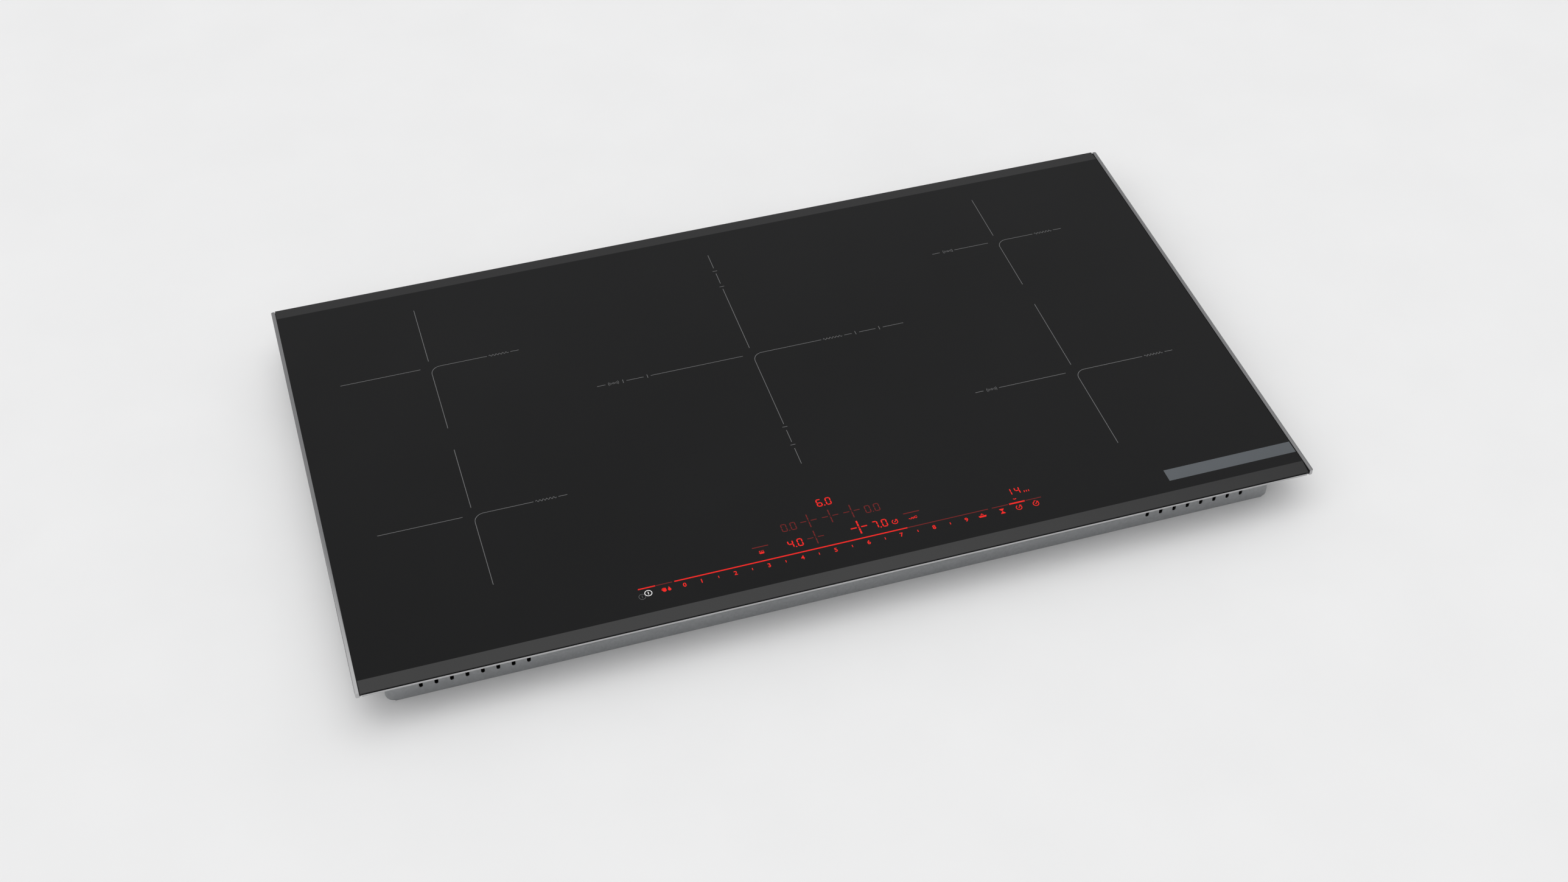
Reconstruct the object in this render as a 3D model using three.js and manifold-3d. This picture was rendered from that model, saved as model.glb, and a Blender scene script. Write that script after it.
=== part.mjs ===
// Built-in electric induction cooktop, 90 cm wide, with five cooking zones.
//
// Frame: millimetres, +X right, +Y to the rear, +Z up. The origin is the centre of the case's underside.
// Bench order from the top: glass and trims, support frame, coils on their carrier plate, control unit,
// then boards, blowers and terminals on the floor of the case tray.

import * as THREE from "three";
import { mergeVertices } from "three/addons/utils/BufferGeometryUtils.js";
import Module from "manifold-3d";

const wasm = await Module();
wasm.setup();

// ---------------------------------------------------------------- driving dimensions

const GAP = 0.3; // clearance kept between pieces that touch

const WIDTH = 916; // over the side profiles
const DEPTH = 527; // front strip to rear edge of the glass
const HEIGHT = 51; // case underside to top of the side profiles
const WORKTOP_Z = 45.5; // plane of the worktop that the rim rests on

const GLASS = {
  halfWidth: 454,
  front: -262.8,
  rear: DEPTH / 2,
  top: 50.5,
  thickness: 4,
  facet: 14, // width of the bevelled facet along front and rear
  frontDrop: 2, // how far the front facet falls
  rearDrop: 0.8, // how far the rear facet falls
};
const GLASS_UNDER = GLASS.top - GLASS.thickness;

const PROFILE = { wall: 3.6, lip: 1.8, lipThickness: 0.7, rear: 261, corner: 1.5, chamfer: 0.5 };
const STRIP = { height: 2, wall: 0.4, leg: 7.5, foot: 0.7, halfLength: 452 };
const SEAL = { halfWidth: 452, front: -255.6, rear: 262, band: 8, corner: 4 };

const CASE = {
  halfWidth: 432,
  halfDepth: 238,
  top: 44.2,
  sheet: 1,
  corner: 8,
};
const FRAME = { sheet: 1.2, flange: 6, bottom: 32 };

// Cooking zones: centre, printed radius, and the radii of the winding rings under it.
const ZONES = [
  { name: "left_rear", x: -317.5, y: 130, r: 90, rings: [{ name: "", inner: 24, outer: 84 }] },
  { name: "left_front", x: -317.5, y: -83, r: 90, rings: [{ name: "", inner: 24, outer: 84 }] },
  {
    name: "centre",
    x: -4.5,
    y: 53.5,
    r: 160,
    rings: [
      { name: "_inner", inner: 28, outer: 100 },
      { name: "_middle", inner: 105, outer: 125 },
      { name: "_outer", inner: 131, outer: 154 },
    ],
  },
  { name: "right_rear", x: 295.5, y: 147.5, r: 72.5, rings: [{ name: "", inner: 22, outer: 67 }] },
  { name: "right_front", x: 295.5, y: -66.5, r: 105, rings: [{ name: "", inner: 26, outer: 99 }] },
];

// Heights in a coil stack, from the carrier plate up to the glass.
const CARRIER = { bottom: 30, sheet: 1.2, front: -152, rear: 231, halfWidth: 427 };
const CARRIER_TOP = CARRIER.bottom + CARRIER.sheet;
const COIL = {
  formerBottom: 36,
  formerSheet: 1.5,
  barTop: 40.5,
  windingTop: 44.9,
  micaBottom: 45.2,
  micaTop: GLASS_UNDER - GAP,
  float: 2.5, // how far a coil can be pressed down on its spring
};
const SENSOR = { stem: 4, head: 7, guide: 5, opening: 9, bottom: 33.5 };

const BOARD = { bottom: 4, top: 5.6 };
const POWER_BOARD = { inner: 192, outer: 412, front: -125, rear: 112 };
const FILTER_BOARD = { left: 228, right: 412, front: 125, rear: 232 };
const HEAT_SINK = { inner: 200, outer: 400, front: 30, rear: 84, base: 4, height: 22, fins: 9, fin: 2 };

const BLOWER = {
  x: 125,
  y: 45,
  side: 92,
  bottom: CASE.sheet + GAP,
  top: 24,
  wall: 1.6,
  intake: 31,
  rotor: 30,
  blades: 11,
  hub: 8,
  post: 1.6,
};

const CONTROL = { halfWidth: 207, front: -229.5, rear: -165, bottom: 33, top: 44.7, wall: 1.5 };

const CLAMP = {
  x: 435.8,
  y: 150, // distance of each screw from the middle of the side
  shank: 1.95,
  hole: 2.35,
  head: 3.4,
  width: 6.4,
  length: 26,
  plate: 10, // underside of the arm
  thickness: 1.6,
  hubTop: 15,
  padTop: 15.2,
  lowerLug: 4,
  upperLug: 30,
  lugSheet: 1.5,
  lugWidth: 12,
  headHeight: 2.8,
  beyond: 5, // how far the screw stands above its upper lug
  pad: 8, // length of the pad at the tip
};

const WINDOW = { left: 330, right: 410, bottom: 7, top: 31 }; // terminal window in the rear wall
const COVER = { overlap: 4, sheet: 1.8, bottom: 4, hingeY: 240.6, hingeZ: 36, barrel: 1.8, pin: 1.1 };
const EARS = {
  left: WINDOW.left - COVER.overlap - 2.5,
  right: WINDOW.right + COVER.overlap + 0.5,
  width: 2,
  reach: 3, // from the hinge axis to the ear's edges
};
const GLAND = { x: 300, z: 17, bore: 5.4, body: 8, flange: 12, inside: 12, flangeEnd: 3.3, outside: 6 };
const RATING_PLATE = { left: -240, right: -150, bottom: 8, top: 36, sheet: 0.4 };

// ---------------------------------------------------------------- materials

const finish = (color, roughness, metalness) =>
  new THREE.MeshStandardMaterial({ color, roughness, metalness });

const glassBlack = finish(0x1d1e20, 0.08, 0);
const steelBright = finish(0xb9bcbe, 0.28, 1);
const steelZinc = finish(0xa9adaf, 0.45, 0.9);
const aluminium = finish(0xb7babd, 0.4, 1);
const copper = finish(0xa5562c, 0.45, 0.8);
const blackPlastic = finish(0x1b1b1c, 0.5, 0);
const whitePlastic = finish(0xd9d8d2, 0.5, 0);
const foam = finish(0x222222, 0.95, 0);
const mica = finish(0xb9b0a0, 0.7, 0);
const boardGreen = finish(0x1f4f33, 0.5, 0);
const foil = finish(0xcfd1d3, 0.35, 0.6);

// ---------------------------------------------------------------- solids

// A closed three.js geometry as a solid that can be joined and cut.
function solid(geometry) {
  const bare = geometry.index ? geometry.toNonIndexed() : geometry.clone();
  bare.deleteAttribute("normal");
  bare.deleteAttribute("uv");
  const merged = mergeVertices(bare, 1e-4);
  return new wasm.Manifold(
    new wasm.Mesh({
      numProp: 3,
      vertProperties: merged.attributes.position.array,
      triVerts: new Uint32Array(merged.index.array),
    }),
  );
}

// A solid as a three.js geometry.
function geometryOf(made) {
  const mesh = made.getMesh();
  const geometry = new THREE.BufferGeometry();
  geometry.setAttribute("position", new THREE.BufferAttribute(new Float32Array(mesh.vertProperties), 3));
  geometry.setIndex(new THREE.BufferAttribute(new Uint32Array(mesh.triVerts), 1));
  geometry.computeVertexNormals();
  return geometry;
}

// Two numbers in rising order.
const between = (a, b) => (a < b ? [a, b] : [b, a]);

const join = (...solids) => solids.reduce((whole, next) => whole.add(next));
const cut = (body, ...tools) => tools.reduce((left, tool) => left.subtract(tool), body);

// A block between two corners.
function block(x0, x1, y0, y1, z0, z1) {
  const geometry = new THREE.BoxGeometry(x1 - x0, y1 - y0, z1 - z0);
  geometry.translate((x0 + x1) / 2, (y0 + y1) / 2, (z0 + z1) / 2);
  return solid(geometry);
}

// A flat shape in the XY plane, raised from z0 to z1.
function raise(shape, z0, z1, curveSegments = 6) {
  const geometry = new THREE.ExtrudeGeometry(shape, {
    depth: z1 - z0,
    bevelEnabled: false,
    curveSegments,
  });
  geometry.translate(0, 0, z0);
  return solid(geometry);
}

// A section given as [x, z] points, drawn out along Y.
function drawAlongY(points, y0, y1) {
  const shape = new THREE.Shape(points.map(([x, z]) => new THREE.Vector2(x, z)));
  const geometry = new THREE.ExtrudeGeometry(shape, { depth: y1 - y0, bevelEnabled: false });
  geometry.rotateX(Math.PI / 2);
  geometry.translate(0, y1, 0);
  return solid(geometry);
}

// A section given as [y, z] points, drawn out along X.
function drawAlongX(points, x0, x1) {
  const shape = new THREE.Shape(points.map(([y, z]) => new THREE.Vector2(y, z)));
  const geometry = new THREE.ExtrudeGeometry(shape, { depth: x1 - x0, bevelEnabled: false });
  geometry.rotateX(Math.PI / 2);
  geometry.rotateZ(Math.PI / 2);
  geometry.translate(x0, 0, 0);
  return solid(geometry);
}

// A rectangle with rounded corners.
function roundedRectangle(x0, x1, y0, y1, r) {
  const shape = new THREE.Shape();
  shape.moveTo(x0 + r, y0);
  shape.lineTo(x1 - r, y0);
  shape.absarc(x1 - r, y0 + r, r, -Math.PI / 2, 0);
  shape.lineTo(x1, y1 - r);
  shape.absarc(x1 - r, y1 - r, r, 0, Math.PI / 2);
  shape.lineTo(x0 + r, y1);
  shape.absarc(x0 + r, y1 - r, r, Math.PI / 2, Math.PI);
  shape.lineTo(x0, y0 + r);
  shape.absarc(x0 + r, y0 + r, r, Math.PI, Math.PI * 1.5);
  return shape;
}

const roundedBlock = (x0, x1, y0, y1, z0, z1, r) =>
  raise(roundedRectangle(x0, x1, y0, y1, r), z0, z1, 3);

// A round solid about a vertical axis, from [radius, z] points that start and end on it.
function turned(x, y, points, segments = 24) {
  const profile = points.map(([r, z]) => new THREE.Vector2(r, z));
  const geometry = new THREE.LatheGeometry(profile, segments);
  geometry.rotateX(Math.PI / 2);
  geometry.translate(x, y, 0);
  const made = solid(geometry);
  return made.volume() < 0 ? solid(flipped(geometry)) : made;
}

// The same surface with its faces turned round.
function flipped(geometry) {
  const turnedOver = geometry.clone();
  const order = turnedOver.index.array;
  for (let i = 0; i < order.length; i += 3) {
    [order[i + 1], order[i + 2]] = [order[i + 2], order[i + 1]];
  }
  return turnedOver;
}

const cylinder = (x, y, r, z0, z1, segments = 24) =>
  turned(x, y, [[0, z0], [r, z0], [r, z1], [0, z1]], segments);

const ring = (x, y, inner, outer, z0, z1, segments = 24) =>
  cut(cylinder(x, y, outer, z0, z1, segments), cylinder(x, y, inner, z0 - 1, z1 + 1, segments));

// A cylinder lying along X or along Y.
function rodAlongX(y, z, r, x0, x1, segments = 12) {
  const geometry = new THREE.CylinderGeometry(r, r, x1 - x0, segments);
  geometry.rotateZ(Math.PI / 2);
  geometry.translate((x0 + x1) / 2, y, z);
  return solid(geometry);
}

function rodAlongY(x, z, r, y0, y1, segments = 16) {
  const geometry = new THREE.CylinderGeometry(r, r, y1 - y0, segments);
  geometry.translate(x, (y0 + y1) / 2, z);
  return solid(geometry);
}

const hob = new THREE.Group();

// Puts a finished solid in the assembly as one named sub-part.
function place(name, made, material) {
  const mesh = new THREE.Mesh(geometryOf(made), material);
  mesh.name = name;
  hob.add(mesh);
}

// ---------------------------------------------------------------- rim: glass, trims and seal

function glassTop() {
  const { front, rear, top, facet, frontDrop, rearDrop, halfWidth } = GLASS;
  const section = [
    [front, GLASS_UNDER],
    [rear, GLASS_UNDER],
    [rear, top - rearDrop],
    [rear - facet, top],
    [front + facet, top],
    [front, top - frontDrop],
  ];
  return drawAlongX(section, -halfWidth, halfWidth);
}

// An L-shaped extrusion: an upright beside the glass and a lip under it. side is +1 on the right.
function sideProfile(side) {
  const outer = WIDTH / 2;
  const inner = outer - PROFILE.wall;
  const { chamfer } = PROFILE;
  const section = [
    [inner - PROFILE.lip, WORKTOP_Z],
    [outer - chamfer, WORKTOP_Z],
    [outer, WORKTOP_Z + chamfer],
    [outer, HEIGHT - chamfer],
    [outer - chamfer, HEIGHT],
    [inner + chamfer, HEIGHT],
    [inner, HEIGHT - chamfer],
    [inner, WORKTOP_Z + PROFILE.lipThickness],
    [inner - PROFILE.lip, WORKTOP_Z + PROFILE.lipThickness],
  ].map(([x, z]) => [side * x, z]);
  const bar = drawAlongY(side > 0 ? section : section.reverse(), -DEPTH / 2, PROFILE.rear);
  // Only the two outer corners are rounded in plan, so the rounded block reaches well past the lip.
  const [x0, x1] = between(side * (inner - 4 * PROFILE.wall), side * outer);
  return bar.intersect(
    roundedBlock(x0, x1, -DEPTH / 2, PROFILE.rear, WORKTOP_Z - 1, HEIGHT + 1, PROFILE.corner),
  );
}

function frontStrip() {
  const front = -DEPTH / 2;
  const { foot } = STRIP;
  const section = [
    [front, WORKTOP_Z],
    [front + STRIP.leg, WORKTOP_Z],
    [front + STRIP.leg, WORKTOP_Z + foot],
    [front + STRIP.wall, WORKTOP_Z + foot],
    [front + STRIP.wall, WORKTOP_Z + STRIP.height],
    [front, WORKTOP_Z + STRIP.height],
  ];
  return drawAlongX(section, -STRIP.halfLength, STRIP.halfLength);
}

function worktopSeal() {
  const { halfWidth, front, rear, band, corner } = SEAL;
  const top = GLASS_UNDER - GAP;
  const outline = roundedBlock(-halfWidth, halfWidth, front, rear, WORKTOP_Z, top, corner);
  const inside = block(
    band - halfWidth,
    halfWidth - band,
    front + band,
    rear - band,
    WORKTOP_Z - 1,
    top + 1,
  );
  return cut(outline, inside);
}

// ---------------------------------------------------------------- case

// The angle frame glued under the glass, which the case tray is screwed to.
function supportFrame() {
  const x = CASE.halfWidth - CASE.sheet - GAP;
  const y = CASE.halfDepth - CASE.sheet - GAP;
  const top = GLASS_UNDER - GAP;
  const { sheet, flange, bottom } = FRAME;
  const corner = CASE.corner - CASE.sheet;
  return cut(
    roundedBlock(-x, x, -y, y, bottom, top, corner),
    roundedBlock(sheet - x, x - sheet, sheet - y, y - sheet, bottom - 1, top - sheet, corner - sheet),
    block(flange - x, x - flange, flange - y, y - flange, bottom - 1, top + 1),
  );
}

const WALL_SLOT = { pitch: 14, width: 3.5, bottom: 10, top: 28 };
const SLOT_ROWS = { outer: 400, inner: 302, middle: 56 }; // where the rows of slots begin and end
const INTAKE_SLOT = { count: 12, length: 18, width: 3.6, centre: 20 };

// Upright slots in a row, for cutting into a wall that runs along X.
function* wallSlots(x0, x1, y) {
  const { pitch, width, bottom, top } = WALL_SLOT;
  for (let x = x0; x <= x1; x += pitch) {
    yield block(x - width / 2, x + width / 2, y - 2, y + 2, bottom, top);
  }
}

// Radial slots in the floor under a blower.
function* intakeSlots(x, y) {
  const { count, length, width, centre } = INTAKE_SLOT;
  for (let i = 0; i < count; i += 1) {
    const slot = new THREE.BoxGeometry(length, width, 4 * CASE.sheet);
    slot.translate(centre, 0, CASE.sheet / 2);
    slot.rotateZ((i * Math.PI * 2) / count);
    slot.translate(x, y, 0);
    yield solid(slot);
  }
}

const PILLAR_RADIUS = 4;
const PILLARS = [-1, 1].flatMap((side) => [
  [side * 182, -140],
  [side * 182, 165],
  [side * 420, -140],
  [side * 420, 118.5],
]);

// Every place where an installation clamp sits, with the way its parked arm points.
const CLAMPS = [
  { name: "left_front", side: -1, y: -CLAMP.y, along: 1 },
  { name: "left_rear", side: -1, y: CLAMP.y, along: -1 },
  { name: "right_front", side: 1, y: -CLAMP.y, along: 1 },
  { name: "right_rear", side: 1, y: CLAMP.y, along: -1 },
];

// The two lugs folded out of a side wall that hold a clamp screw.
function clampLugs({ side, y }) {
  const wall = side * (CASE.halfWidth - CASE.sheet / 2);
  const edge = side * (CLAMP.x + CLAMP.width / 2 + 0.4);
  const [x0, x1] = between(wall, edge);
  const half = CLAMP.lugWidth / 2;
  return [CLAMP.lowerLug, CLAMP.upperLug].map((z) =>
    cut(
      block(x0, x1, y - half, y + half, z, z + CLAMP.lugSheet),
      cylinder(side * CLAMP.x, y, CLAMP.hole, z - 1, z + CLAMP.lugSheet + 1, 16),
    ),
  );
}

// An ear on the rear wall that carries one end of the terminal cover's hinge.
function hingeEar(x0, x1) {
  const hole = COVER.pin + 0.35;
  const { hingeY: y, hingeZ: z } = COVER;
  const { reach } = EARS;
  return cut(
    block(x0, x1, CASE.halfDepth - CASE.sheet / 2, y + reach, z - reach, z + reach),
    rodAlongX(y, z, hole, x0 - 1, x1 + 1),
  );
}

function caseTray() {
  const { halfWidth: x, halfDepth: y, top, sheet, corner } = CASE;
  const { outer, inner, middle } = SLOT_ROWS;
  const wall = y - sheet / 2;
  const shell = cut(
    roundedBlock(-x, x, -y, y, 0, top, corner),
    roundedBlock(sheet - x, x - sheet, sheet - y, y - sheet, sheet, top + 1, corner - sheet),
  );
  const pillarTop = CARRIER.bottom - GAP;
  const pillars = PILLARS.map(([px, py]) => cylinder(px, py, PILLAR_RADIUS, sheet / 2, pillarTop, 12));
  return cut(
    join(
      shell,
      ...pillars,
      ...CLAMPS.flatMap(clampLugs),
      hingeEar(EARS.left, EARS.left + EARS.width),
      hingeEar(EARS.right, EARS.right + EARS.width),
    ),
    ...intakeSlots(-BLOWER.x, BLOWER.y),
    ...intakeSlots(BLOWER.x, BLOWER.y),
    ...wallSlots(-outer, -inner, wall),
    ...wallSlots(-middle, middle, wall),
    ...wallSlots(-outer, -inner, -wall),
    ...wallSlots(inner, outer, -wall),
    block(WINDOW.left, WINDOW.right, y - 3, y + 3, WINDOW.bottom, WINDOW.top),
    rodAlongY(GLAND.x, GLAND.z, GLAND.body + GAP, y - 3, y + 3),
  );
}

// ---------------------------------------------------------------- installation clamps

function clampScrew({ side, y }) {
  const head = CLAMP.lowerLug - GAP;
  const end = CLAMP.upperLug + CLAMP.beyond;
  return turned(
    side * CLAMP.x,
    y,
    [
      [0, head - CLAMP.headHeight],
      [CLAMP.head, head - CLAMP.headHeight],
      [CLAMP.head, head],
      [CLAMP.shank, head],
      [CLAMP.shank, end],
      [0, end],
    ],
    16,
  );
}

// A flat arm with a hub round the screw and a raised pad at its tip.
function clampArm({ side, y, along }) {
  const x = side * CLAMP.x;
  const half = CLAMP.width / 2;
  const tip = y + along * CLAMP.length;
  const { plate, thickness, padTop, hubTop, pad } = CLAMP;
  return cut(
    join(
      block(x - half, x + half, ...between(y, tip), plate, plate + thickness),
      cylinder(x, y, half, plate, hubTop, 16),
      block(x - half, x + half, ...between(tip - along * thickness, tip), plate, padTop),
      block(x - half, x + half, ...between(tip - along * pad, tip), padTop - thickness, padTop),
    ),
    cylinder(x, y, CLAMP.hole, plate - 1, hubTop + 1, 16),
  );
}

// ---------------------------------------------------------------- terminals

// A flap that hangs from its hinge barrel over the terminal window.
function terminalCover() {
  const { overlap, sheet, bottom, hingeY, hingeZ, barrel, pin } = COVER;
  const left = WINDOW.left - overlap;
  const right = WINDOW.right + overlap;
  const inside = hingeY - barrel;
  return join(
    block(left, right, inside, inside + sheet, bottom, hingeZ),
    rodAlongX(hingeY, hingeZ, barrel, left, right),
    rodAlongX(hingeY, hingeZ, pin, EARS.left + 0.2, EARS.right + EARS.width - 0.2),
    block(left + 34, right - 34, inside + sheet - 0.2, inside + sheet + 1.4, bottom, bottom + 4),
  );
}

// A flanged sleeve in the rear wall that the supply cord passes through.
function cableGland() {
  const wall = CASE.halfDepth;
  const { x, z, bore, body, flange, inside, flangeEnd, outside } = GLAND;
  return cut(
    join(
      rodAlongY(x, z, body, wall - inside, wall + 1),
      rodAlongY(x, z, flange, wall + GAP, wall + flangeEnd),
      rodAlongY(x, z, body, wall + flangeEnd - GAP, wall + outside),
    ),
    rodAlongY(x, z, bore, wall - inside - 2, wall + outside + 2),
  );
}

const TERMINALS = { ways: 6, pitch: 11, left: 338, front: 208, rear: 228 };

function terminalBlock() {
  const { ways, pitch, left, front, rear } = TERMINALS;
  const base = BOARD.top + GAP;
  const screws = Array.from({ length: ways }, (_, i) =>
    cylinder(left + pitch * (i + 0.5), (front + rear) / 2 - 3, 2.6, base + 8, base + 20, 8),
  );
  return cut(
    join(
      block(left, left + pitch * ways, front, rear, base, base + 10),
      block(left, left + pitch * ways, front, rear - 7, base + 9, base + 15),
    ),
    ...screws,
  );
}

const SOLDERED = BOARD.top - 0.2; // foot of a component on a board

// Blocks on the filter board: left, right, front, rear, top.
const FILTER_PARTS = {
  capacitor: [300, 326, 140, 158, 24],
  fuse: [336, 348, 140, 166, 20],
  relay: [356, 382, 140, 160, 22],
};
const FILTER_VARISTOR = { x: 395, y: 165, r: 6, top: 20 };
const FILTER_CHOKE = { x: 262, y: 165, inner: 9, outer: 19, top: 19 };

function filterBoard() {
  const { left, right, front, rear } = FILTER_BOARD;
  const { x, y, r, top } = FILTER_VARISTOR;
  return join(
    block(left, right, front, rear, BOARD.bottom, BOARD.top),
    ...Object.values(FILTER_PARTS).map(([x0, x1, y0, y1, z]) => block(x0, x1, y0, y1, SOLDERED, z)),
    cylinder(x, y, r, SOLDERED, top, 12),
  );
}

function filterChoke() {
  const { x, y, inner, outer, top } = FILTER_CHOKE;
  return ring(x, y, inner, outer, BOARD.top + GAP, top, 20);
}

// ---------------------------------------------------------------- power electronics

// Blocks on a power board, as on the right: inner and outer edge, front, rear, height.
const RESONANCE_CAPACITORS = [[230, 262], [270, 302], [310, 342]].map((x) => [...x, -30, -12, 17]);
const RELAYS = [[230, 250], [258, 278], [286, 306]].map((x) => [...x, -70, -54, 14]);
const MAINS_CAPACITOR = [340, 386, -92, -52, 20];
const LEAD_SOCKET = [194, 206, POWER_BOARD.front + 1, POWER_BOARD.front + 8, 8];
const ELECTROLYTICS = { x: [244, 268, 292], y: -98, r: 9, height: 21 };

// side is +1 for the right-hand board.
function powerBoard(side) {
  const { inner, outer, front, rear } = POWER_BOARD;
  const component = ([a, b, y0, y1, height]) =>
    block(...between(side * a, side * b), y0, y1, SOLDERED, BOARD.top + height);
  const { y, r, height } = ELECTROLYTICS;
  return join(
    block(...between(side * inner, side * outer), front, rear, BOARD.bottom, BOARD.top),
    ...[...RESONANCE_CAPACITORS, ...RELAYS, MAINS_CAPACITOR, LEAD_SOCKET].map(component),
    ...ELECTROLYTICS.x.map((x) => cylinder(side * x, y, r, SOLDERED, BOARD.top + height, 12)),
  );
}

// A comb section: a base with upright fins, drawn out along the air flow.
function heatSink(side) {
  const { inner, outer, front, rear, base, height, fins, fin } = HEAT_SINK;
  const bottom = BOARD.top + GAP;
  const [x0, x1] = between(side * inner, side * outer);
  const pitch = (rear - front - fin) / (fins - 1);
  const uprights = Array.from({ length: fins }, (_, i) =>
    block(x0, x1, front + pitch * i, front + pitch * i + fin, bottom + base - 0.5, bottom + height),
  );
  return join(block(x0, x1, front, rear, bottom, bottom + base), ...uprights);
}

// ---------------------------------------------------------------- blowers

// A flat box with a round intake below and an outlet towards the heat sink.
function blowerHousing(side) {
  const { y, bottom, top, wall, intake, post } = BLOWER;
  const x = side * BLOWER.x;
  const half = BLOWER.side / 2;
  const inside = half - wall;
  const [x0, x1] = between(x + side * (half - 6), x + side * (half + 1)); // through the outlet wall
  return join(
    cut(
      roundedBlock(x - half, x + half, y - half, y + half, bottom, top, 10),
      roundedBlock(x - inside, x + inside, y - inside, y + inside, bottom + wall, top - wall, 8),
      cylinder(x, y, intake, bottom - 1, bottom + wall + 1, 24),
      block(x0, x1, y - 30, y + 34, bottom + wall + 1, top - wall - 1),
    ),
    cylinder(x, y, post, 9, top - wall / 2, 12),
  );
}

// A drum of upright blades under a back plate, with a hub that turns on the housing's post.
function blowerRotor(side) {
  const { y, rotor, blades, hub, post } = BLOWER;
  const x = side * BLOWER.x;
  const [bottom, plate, top] = [5, 17.5, 19.2];
  const blade = (i) => {
    const geometry = new THREE.BoxGeometry(11, 1.4, plate - bottom + 0.4);
    geometry.rotateZ(side * 0.6);
    geometry.translate(rotor - 6, 0, (plate + bottom) / 2 + 0.2);
    geometry.rotateZ((i * Math.PI * 2) / blades);
    geometry.translate(x, y, 0);
    return solid(geometry);
  };
  return cut(
    join(
      cylinder(x, y, rotor, plate, top, 22),
      cylinder(x, y, hub, 6, plate + 0.5, 16),
      ...Array.from({ length: blades }, (_, i) => blade(i)),
    ),
    cylinder(x, y, post + 0.4, 8, top + 1, 12),
  );
}

// ---------------------------------------------------------------- coils

function carrierPlate() {
  const { bottom, front, rear, halfWidth } = CARRIER;
  const top = CARRIER_TOP;
  const plate = roundedBlock(-halfWidth, halfWidth, front, rear, bottom, top, 6);
  const leadHoles = ZONES.flatMap(({ x, y, r }) => [
    cylinder(x, y, 11, bottom - 1, top + 1, 14),
    cylinder(x, y - 0.62 * r, 7, bottom - 1, top + 1, 8),
  ]);
  return cut(plate, ...leadHoles);
}

const SPRING = { ring: 13, ringInner: 9.5, reach: 0.42, width: 9, sheet: 0.6, arms: 3 };

// A flat ring on the carrier plate with sprung arms that rise to the coil former.
function springSpider({ x, y, r }) {
  const base = CARRIER_TOP + GAP;
  const head = COIL.formerBottom - GAP;
  const reach = SPRING.reach * r + 12;
  const start = SPRING.ring - 2;
  const arm = (i) => {
    const section = [
      [start, base],
      [start + 4, base],
      [reach - 6, head - SPRING.sheet],
      [reach, head - SPRING.sheet],
      [reach, head],
      [reach - 7, head],
      [start + 3, base + SPRING.sheet],
      [start, base + SPRING.sheet],
    ];
    const shape = new THREE.Shape(section.map(([px, pz]) => new THREE.Vector2(px, pz)));
    const geometry = new THREE.ExtrudeGeometry(shape, { depth: SPRING.width, bevelEnabled: false });
    geometry.rotateX(Math.PI / 2);
    geometry.translate(0, SPRING.width / 2, 0);
    geometry.rotateZ(Math.PI / 2 + (i * Math.PI * 2) / SPRING.arms);
    geometry.translate(x, y, 0);
    return solid(geometry);
  };
  return join(
    ring(x, y, SPRING.ringInner, SPRING.ring, base, base + SPRING.sheet, 12),
    ...Array.from({ length: SPRING.arms }, (_, i) => arm(i)),
  );
}

// A disc with radial ferrite bars cemented on it and a guide for the sensor in its middle.
function coilFormer({ x, y, r, rings }) {
  const { formerBottom, formerSheet, barTop } = COIL;
  const outer = rings.at(-1).outer + 3;
  const bars = r > 120 ? 12 : 8;
  const barWidth = 12;
  const start = rings[0].inner + 2;
  const bar = (i) => {
    const geometry = new THREE.BoxGeometry(outer - 4 - start, barWidth, barTop - formerBottom - 1);
    geometry.translate((outer - 4 + start) / 2, 0, (barTop + formerBottom + 1) / 2);
    geometry.rotateZ(((i + 0.5) * Math.PI * 2) / bars);
    geometry.translate(x, y, 0);
    return solid(geometry);
  };
  return cut(
    join(
      cylinder(x, y, outer, formerBottom, formerBottom + formerSheet, 28),
      ring(x, y, SENSOR.head + 2, SENSOR.head + 5, formerBottom + 1, COIL.windingTop, 14),
      ...Array.from({ length: bars }, (_, i) => bar(i)),
    ),
    cylinder(x, y, SENSOR.guide, formerBottom - 1, formerBottom + formerSheet + 1, 12),
  );
}

const winding = ({ x, y }, { inner, outer }) =>
  ring(x, y, inner, outer, COIL.barTop + GAP, COIL.windingTop, 24);

const micaDisc = ({ x, y, rings }) =>
  ring(x, y, SENSOR.opening, rings.at(-1).outer + 2, COIL.micaBottom, COIL.micaTop, 20);

function temperatureSensor({ x, y }) {
  const shoulder = COIL.windingTop - 3;
  return turned(
    x,
    y,
    [
      [0, SENSOR.bottom],
      [SENSOR.stem, SENSOR.bottom],
      [SENSOR.stem, shoulder],
      [SENSOR.head, shoulder],
      [SENSOR.head, COIL.micaTop],
      [0, COIL.micaTop],
    ],
    16,
  );
}

// ---------------------------------------------------------------- control unit

// A shallow plastic trough under the glass, open upwards.
function controlHolder() {
  const { halfWidth: x, front, rear, bottom, top, wall } = CONTROL;
  return cut(
    roundedBlock(-x, x, front, rear, bottom, top, 3),
    block(wall - x, x - wall, front + wall, rear - wall, bottom + wall, top + 1),
  );
}

const TOUCH_KEYS = { first: -152, pitch: 16, count: 18, y: -220.5, r: 3.4 };
const DISPLAYS = [
  [-41.5, -206.5],
  [-41.5, -185.5],
  [0, -175],
  [41, -185.5],
  [41, -206.5],
  [175, -204],
];

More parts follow.
